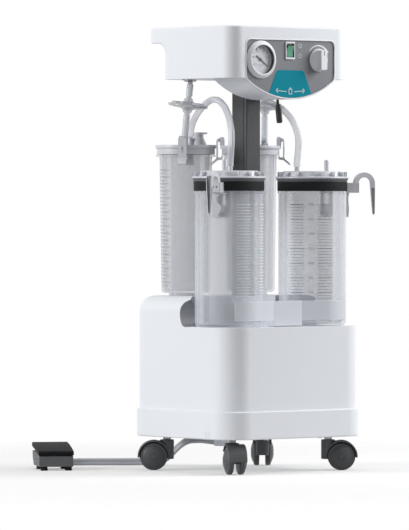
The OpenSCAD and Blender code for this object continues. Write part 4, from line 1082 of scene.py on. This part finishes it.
cage = lathe([(0, 455), (6, 455), (9, 456), (11, 459), (11.5, 463), (11.5, 508), (9.5, 508), (9.5, 464),
    (8.6, 460), (6, 458), (0, 458)], 40)
for angle in (0, 90):
    window = block(40, 8, 34, (0, 0, 482))
    cage = carve(cage, moved(window, turn=spun(angle + 45)))
cage = moved(cage, to=FLOAT_SPOT)
piece("float_guards", both_sides(cage), CAGE, "float_cages", sharp=40)
for side in ("left", "right"):
    ball = lathe([(0, 455.5), (3.4, 456.3), (6.2, 458.6), (7.6, 461.2), (8, 463.5), (8, 476.4), (7, 477.5),
        (0, 477.5)], 40)
    ball = moved(ball, to=FLOAT_SPOT)
    piece("float_" + side + "_body", flipped(ball, side == "left"), TRIM, "float_" + side,
        "float_" + side)
print("lids, seals and floats made")

# %% [markdown]
# Each front lid has a hook, so that the jar can also hang on a bed rail. Its outline is a
# block with a round arch and a tapering leg, drawn out to its width, and a slot runs down
# the leg. The two hooks are mirror images, turned outward.

# %% Rail hooks
HOOK_TURN, ARCH, ARCH_Z, HOOK_SEAT = 57.7, 94.5, 516.5, 63.05
for side in ("left", "right"):
    shape = [(75, 510), (75, ARCH_Z)] + arc(ARCH, ARCH_Z, 19.5, 180, 0, 24) + [(ARCH + 19.5, 462),
        (ARCH + 17.5, 458.2), (ARCH + 14.8, 462)] + arc(ARCH, ARCH_Z, 10.5, 0, 180, 18) + [(84, 510)]
    hook = moved(drawn(outline(shape), 22), turn=FACING, to=(0, 11, 0))
    above = drawn(outline([(70, -10), (ARCH + 6, -5), (120, -5), (120, 5), (ARCH + 6, 5), (70, 10)]), 100)
    hook = carve(hook, moved(above, to=(0, 0, 450)), "INTERSECT")
    down = side_slab([(-12, 540), (-12, ARCH_Z), (-10, 510), (-5, 508), (-1.5, 457), (1.5, 457), (5, 508),
        (10, 510), (12, ARCH_Z), (12, 540)], 65, 65)
    hook = carve(hook, down, "INTERSECT")
    hook = ease(hook, 1, 3, angle=50)
    shoulder = ease(block(29, 22, 18, (69.5, 0, 508)), 1.2, 3, angle=60, where=lambda p: p.x > 70)
    hook = carve(hook, shoulder, "UNION")
    for k in (-1, 0, 1):
        hole = moved(rod(1.5, -3, 3, 16), turn=spun(90, "Y"),
            to=(84, 6.5 * k - 2, 509))
        hook = carve(hook, hole)
    plate = side_slab([(-10, 500), (11, 500), (9, 497), (4, 494), (-0.6, 491.5), (-2, 488.6), (-1.6, 485),
        (1, 480.4), (5, 476.4), (6.6, 473.4), (6.6, 470), (5, 465.6), (2, 461), (0.6, 457.6), (0, 455),
        (-10, 455)], 1.4, 64.8)
    hook = carve(hook, ease(plate, 0.5, 2, angle=50), "UNION")
    groove = drawn(outline([(-4.4, 527), (-0.8, 463), (1.6, 463), (3.6, 527)]), 5)
    hook = carve(hook, moved(groove, turn=SIDE_VIEW, to=(ARCH + 16.6, 0, 0)))
    hook = carve(hook, rod(HOOK_SEAT, 440, 560, 96))
    # The faces inside the slot and the three holes take the painted shade grey: painted shade, for the
    # shadow inside them.
    for face in hook.faces:
        spot = face.calc_center_median()
        in_groove = ARCH + 14 < spot.x < ARCH + 18.9 and abs(spot.y) < 4 and 462.5 < spot.z < 528
        in_hole = 80.9 < spot.x < 83.9 and abs(spot.z - 509) < 1.6
        face.material_index = 1 if in_groove or in_hole else 0
    hook = moved(hook, turn=spun(270 - HOOK_TURN), to=JAR_SPOT)
    hook = piece("rail_hook_" + side, flipped(hook, side == "left"), LID, "hook_" + side,
        sharp=36)
    hook.data.materials.append(PAINTED_SHADE_GREY)
print("hooks reach", ARCH + 19.5, "mm from the jars' axes")

# %% [markdown]
# A sheet metal band holds the two front jars against the deck: a flat plate in the middle,
# folded under at its foot, and an arm bent round the front of each jar.

# %% Jar band
OUTER, INNER, PLATE_Y, PLATE_HALF = 63.5, 61.5, -113, 33


def beside(r, angle):
    return JAR_X + r * sin(radians(angle)), JAR_Y - r * cos(radians(angle))


turns = [-17 + 47 * k / 20 for k in range(21)]
arm = outline([(PLATE_HALF - 1, PLATE_Y + 1.6), (PLATE_HALF, PLATE_Y)] + [beside(OUTER, t) for t in turns]
    + [beside(INNER, t) for t in reversed(turns)])
arm = ease(moved(drawn(arm, 35), to=(0, 0, DECK + 11)), 0.5, 2, angle=70)
plate = block(2 * PLATE_HALF, 2, 46, (0, PLATE_Y + 1, DECK + 23))
foot = block(2 * PLATE_HALF, 16, 2, (0, PLATE_Y + 8, DECK + 1))
band = merged(both_sides(arm), ease(plate, 0.5, 2), ease(foot, 0.5, 2))
piece("jar_band_strip", band, SHEET, "jar_band", sharp=30)
print("band arms start", PLATE_HALF, "mm from the middle")

# %% [markdown]
# The rear jars catch any overflow. They taper a little towards the foot, stand on a short
# ring, and end in a flange that the lid's clips grip. Both their scales face the same way, to the left.

# %% Rear jars
REAR_X, REAR_Y, REAR_TOP, REAR_LID = 76, 82.7, 567, 579
REAR_SPOT = (-REAR_X, REAR_Y, 0)
rear = lathe([(0, 319), (28, 319), (28, 314), (31, 314), (31, 319), (39, 319), (42.4, 320.6), (44, 324),
    (45.2, 400), (47.2, 540), (47.5, 560), (48.4, 563.4), (54, 564), (54, REAR_TOP), (49, REAR_TOP),
    (49, REAR_LID), (43.6, REAR_LID), (43.6, 559), (40.6, 327), (39, 323), (36, 322), (0, 322)], 96)
piece("rear_jar_walls", both_sides(moved(rear, to=REAR_SPOT)), REAR_JAR, "rear_jars", sharp=50)
for side, across in (("left", -1), ("right", 1)):
    rows = bmesh.new()
    for k in range(1, 18):
        r, z = 44 + 3.4 * (REAR_STEP * k) / 222, REAR_FOOT + REAR_STEP * k
        merged(rows, tick(r, z, REAR_MAJOR, 150, 40), tick(r, z - REAR_STEP / 2, MINOR_TALL, 150, 26))
    piece("rear_scale_" + side, moved(rows, to=(across * REAR_X, REAR_Y, 0)), LINE_INK)
print("rear jars stand at", REAR_X, REAR_Y)

# %% [markdown]
# A rear lid is a flat disc that carries a valve tower with a finger tab, two spigots, and
# the ears for its clips. The clips are springy plates: a pin through their eye, a wide plate
# down the side, a hook under the flange, and a turned-out tab to pull them open.

# %% Rear lids
LID_R, LID_TOP = 55.5, 585
LOOP_PORT, FILTER_PORT, CLIP_R, CLIP_Z = (-66, 82), (-94, 65), 52, 597
disc = lathe([(0, 574), (43, 574), (43, REAR_LID), (49.2, REAR_LID), (49.2, REAR_TOP + 1.6),
    (49.8, REAR_TOP + 1), (52, REAR_TOP + 1), (52.5, REAR_TOP + 1.6), (52.5, REAR_LID),
    (LID_R - 0.6, REAR_LID), (LID_R, REAR_LID + 0.6), (LID_R, LID_TOP - 1.4), (LID_R - 0.5, LID_TOP - 0.3),
    (LID_R - 2, LID_TOP), (50.5, LID_TOP), (50, LID_TOP - 1), (44, LID_TOP - 1), (43.4, LID_TOP),
    (0, LID_TOP)], 96)
piece("rear_lid_discs", both_sides(moved(disc, to=REAR_SPOT)), LID, "rear_lids", sharp=45)

tower = lathe([(0, 585), (14.5, 585), (14.3, 586.4), (9.4, 597.4), (9, 598.6), (9, 607), (8.2, 608),
    (0, 608)], 40)
tab = ease(block(20, 14, 3, (6, 0, 606.5), 3, 4), 0.6, 2, angle=60)
fittings = moved(merged(tower, tab), to=(26, -4.7, 0))
for port in (LOOP_PORT, FILTER_PORT):
    stem = lathe([(2.75, 598), (4.1, 598), (4.5, 597.4), (4.5, 590), (6.6, 588.6), (7, 587.6), (7, 585),
        (2.75, 585), (2.75, 598)], 32)
    merged(fittings, moved(stem, to=(port[0] + REAR_X, port[1] - REAR_Y, 0)))
for turn in (45, 225):
    for y in (-4.5, 6.5):
        ear = [(CLIP_R - 4, LID_TOP), (CLIP_R + 3.5, LID_TOP)] + arc(CLIP_R, CLIP_Z, 4, 0, 180, 12)
        ear = moved(ease(drawn(outline(ear), 2), 0.4, 2, angle=60), turn=FACING, to=(0, y, 0))
        merged(fittings, moved(ear, turn=spun(180 + turn)))
piece("rear_lid_fittings", both_sides(moved(fittings, to=REAR_SPOT)), LID, "rear_fittings",
    sharp=45)

# %% Clips
for side in ("left", "right"):
    for end, turn in (("front", 45), ("rear", 225)):
        strip = [(56.6, -5), (60, -5), (60, -36), (62.6, -40.6), (66.5, -43.4), (72, -47.6), (73.3, -46),
            (69, -40.7), (64.5, -37.6), (62, -34), (62, -4), (60.6, 0.4), (57.4, 0.6)]
        clip = moved(drawn(outline(strip), 15), turn=FACING, to=(0, 7.5, 0))
        eye = outline(arc(CLIP_R, 0, 3.8, 70, 290, 16) + [(56.5, -4.6), (59.4, -3), (59.4, 0.4)])
        clip = carve(clip, moved(drawn(eye, 8), turn=FACING, to=(0, 4, 0)), "UNION")
        barb = outline([(51.5, -37), (60.5, -38.8), (60.5, -33.4), (51.5, -33.4)])
        clip = carve(clip, moved(drawn(barb, 14.8), turn=FACING, to=(0, 7.4, 0)), "UNION")
        clip = carve(clip, block(9, 4.4, 13, (61, 0, -20)))
        eyelet = moved(rod(1.55, -9, 9, 20), turn=FACING, to=(CLIP_R, 0, 0))
        clip = ease(carve(clip, eyelet), 0.35, 2, angle=50)
        clip = moved(clip, turn=spun(180 + turn), to=(-REAR_X, REAR_Y, CLIP_Z))
        name = "clip_" + side + "_" + end
        piece("lid_" + name, flipped(clip, side == "left"), CLIP, name, name, sharp=36)
print("clips turn about", CLIP_Z, "mm")

# %% [markdown]
# The foot pedal has a black rocking top with a soft, grippy skin and a dark grey body on
# four rubber feet. A steel pin goes through both, and the body is undercut at the heel,
# where the air hose leaves it. Both are drawn from their side view and given their width.

# %% Foot pedal
PEDAL_X, PEDAL_Y, PEDAL_TURN, PEDAL_LONG = -285, 194, -30, 95
HINGE_Y, HINGE_Z = 43, 15.6
PEDAL_AT = Matrix.Translation((PEDAL_X, PEDAL_Y, 0)) @ spun(PEDAL_TURN)


top = side_slab([(-1, 26.8), (-1, 33.2), (1.5, 35.5), (30, 41.5), (60, 46), (85, 48.2), (93, 47.6),
    (95, 45), (94, 40), (43, 34), (12, 29)], 32)
ease(top, 1.6, 3, angle=50, where=lambda p: abs(p.x) > 31.9)
for x in (-24, 24):
    merged(top, side_slab([(HINGE_Y - 4, 11), (HINGE_Y + 4, 11), (HINGE_Y + 7.4, 38), (HINGE_Y - 7.4, 36)],
        2.4, x, 1.5))
piece("pedal_top", moved(top, turn=PEDAL_AT), GRIP, "pedal_treadle", "pedal_treadle",
    sharp=32)

body = side_slab([(0, 7), (76, 7), (92, 20), (94, 33), (43, 31.5), (0, 26)], 31)
ease(body, 1.2, 2, angle=40)
inside = side_slab([(3, 10), (74, 10), (88, 21), (90, 42), (3, 42)], 28)
body = carve(body, inside)
fitting = ease(block(9, 20, 13, (12, 84.6, 14), 2, 3), 0.8, 2, angle=60)
merged(body, fitting, moved(block(18, 18, 2), to=(0, 69, 10)))
piece("pedal_body", moved(body, turn=PEDAL_AT), PEDAL, "pedal_base", sharp=36)
for x in (-29.7, 29.7):
    cap = moved(lathe([(2.2, -1.8), (4.6, -1.8), (5, -1.3), (5, 1.3), (4.6, 1.8), (2.2, 1.8), (2.2, -1.8)],
        40), turn=spun(90, "Y"), to=(x, HINGE_Y, HINGE_Z))
    piece("pedal_bush_" + ("left" if x < 0 else "right"), moved(cap, turn=PEDAL_AT), BLACK)
feet = bmesh.new()
for x in (-21, 23):
    for y in (8, 66):
        merged(feet, moved(lathe([(0, 0), (5.6, 0), (6.5, 1), (6.2, 7), (0, 7)], 32), to=(x, y, 0)))
piece("pedal_rubber_feet", moved(feet, turn=PEDAL_AT), RUBBER, "pedal_feet")
print("pedal", PEDAL_LONG, "mm long")

# %% [markdown]
# The pump itself sits inside the closed base and can't be seen, and a few small steel parts
# are the right shape already. These stay as plain solids, and only take their finishes.

# %% Parts that keep their shape
dress(MOTOR, "pump_motor")
dress(STEEL, "pump_rotor", "column_flanges", "screws", "clip_pins", "pedal_pin", "pedal_spring")
dress(CAST, "pump_heads")
dress(RUBBER, "pump_mounts")
dress(BRASS, "regulator_valve", "selector_valve")
print("pieces:", len(made))

# %% [markdown]
# The stage is a wide pale floor whose rim fades out, so that it has no edge, under three soft
# lamps: a strong one from the left, a weaker one from the right and a faint one overhead. The
# sky is dim as a lamp, and white to the camera and in reflections.

# %% Stage
FLOOR_R = 6
SKY_DIM = 0.25
ground = bmesh.new()
bmesh.ops.create_circle(ground, cap_ends=True, radius=FLOOR_R, segments=64)
floor_mesh = bpy.data.meshes.new("floor")
ground.to_mesh(floor_mesh)
ground.free()
floor = bpy.data.objects.new("floor", floor_mesh)
scene.collection.objects.link(floor)
paper = bpy.data.materials.new("floor_paper")
paper.use_nodes = True
nodes, links = paper.node_tree.nodes, paper.node_tree.links
shader = settle(nodes["Principled BSDF"], {"Base Color": (0.9, 0.9, 0.9, 1), "Roughness": 0.9,
    "Specular IOR Level": 0})
where = add(nodes, "TexCoord")
far = add(nodes, "VectorMath")
far.operation = "LENGTH"
fade = add(nodes, "MapRange", From_Min=0.3, From_Max=1.3, To_Min=0.6, To_Max=0)
fade.interpolation_type = "SMOOTHSTEP"
join(links, (where.outputs["Object"], far.inputs[0]), (far.outputs["Value"], fade.inputs["Value"]),
    (fade.outputs[0], shader.inputs["Alpha"]))
floor_mesh.materials.append(paper)


LAMP_AIM = Vector((0, 0, 0.4))


def lamp(name, azimuth, height, far, size, watts):
    """A round soft lamp, aimed at the trolley; azimuth 0 is straight ahead of its panel."""
    light = bpy.data.lights.new(name, "AREA")
    light.shape = "DISK"
    light.size = size
    light.energy = watts
    holder = bpy.data.objects.new(name, light)
    scene.collection.objects.link(holder)
    turn, lift = radians(azimuth), radians(height)
    away = Vector((sin(turn) * cos(lift), -cos(turn) * cos(lift), sin(lift)))
    holder.location = LAMP_AIM + far * away
    holder.rotation_euler = (-away).to_track_quat("-Z", "Y").to_euler()


LAMPS = {"key": (-110, 18, 3.2, 1.6, 70), "fill": (54, 28, 2.4, 1.4, 47), "top": (0, 84, 3, 1.6, 22)}
for name, values in LAMPS.items():
    lamp(name, *values)
world = bpy.data.worlds.new("sky")
scene.world = world
world.use_nodes = True
nodes, links = world.node_tree.nodes, world.node_tree.links
sky = nodes["Background"]
sky.inputs["Color"].default_value = (1, 1, 1, 1)
path = add(nodes, "LightPath")
seen, also = math_node(nodes, "MAXIMUM"), math_node(nodes, "MAXIMUM")
level = add(nodes, "MapRange", To_Min=SKY_DIM, To_Max=1)
join(links, (path.outputs["Is Camera Ray"], seen.inputs[0]), (path.outputs["Is Glossy Ray"],
    seen.inputs[1]), (seen.outputs[0], also.inputs[0]), (path.outputs["Is Transmission Ray"],
    also.inputs[1]), (also.outputs[0], level.inputs["Value"]), (level.outputs[0], sky.inputs["Strength"]))
scene.view_settings.view_transform = "Standard"
print("stage set")
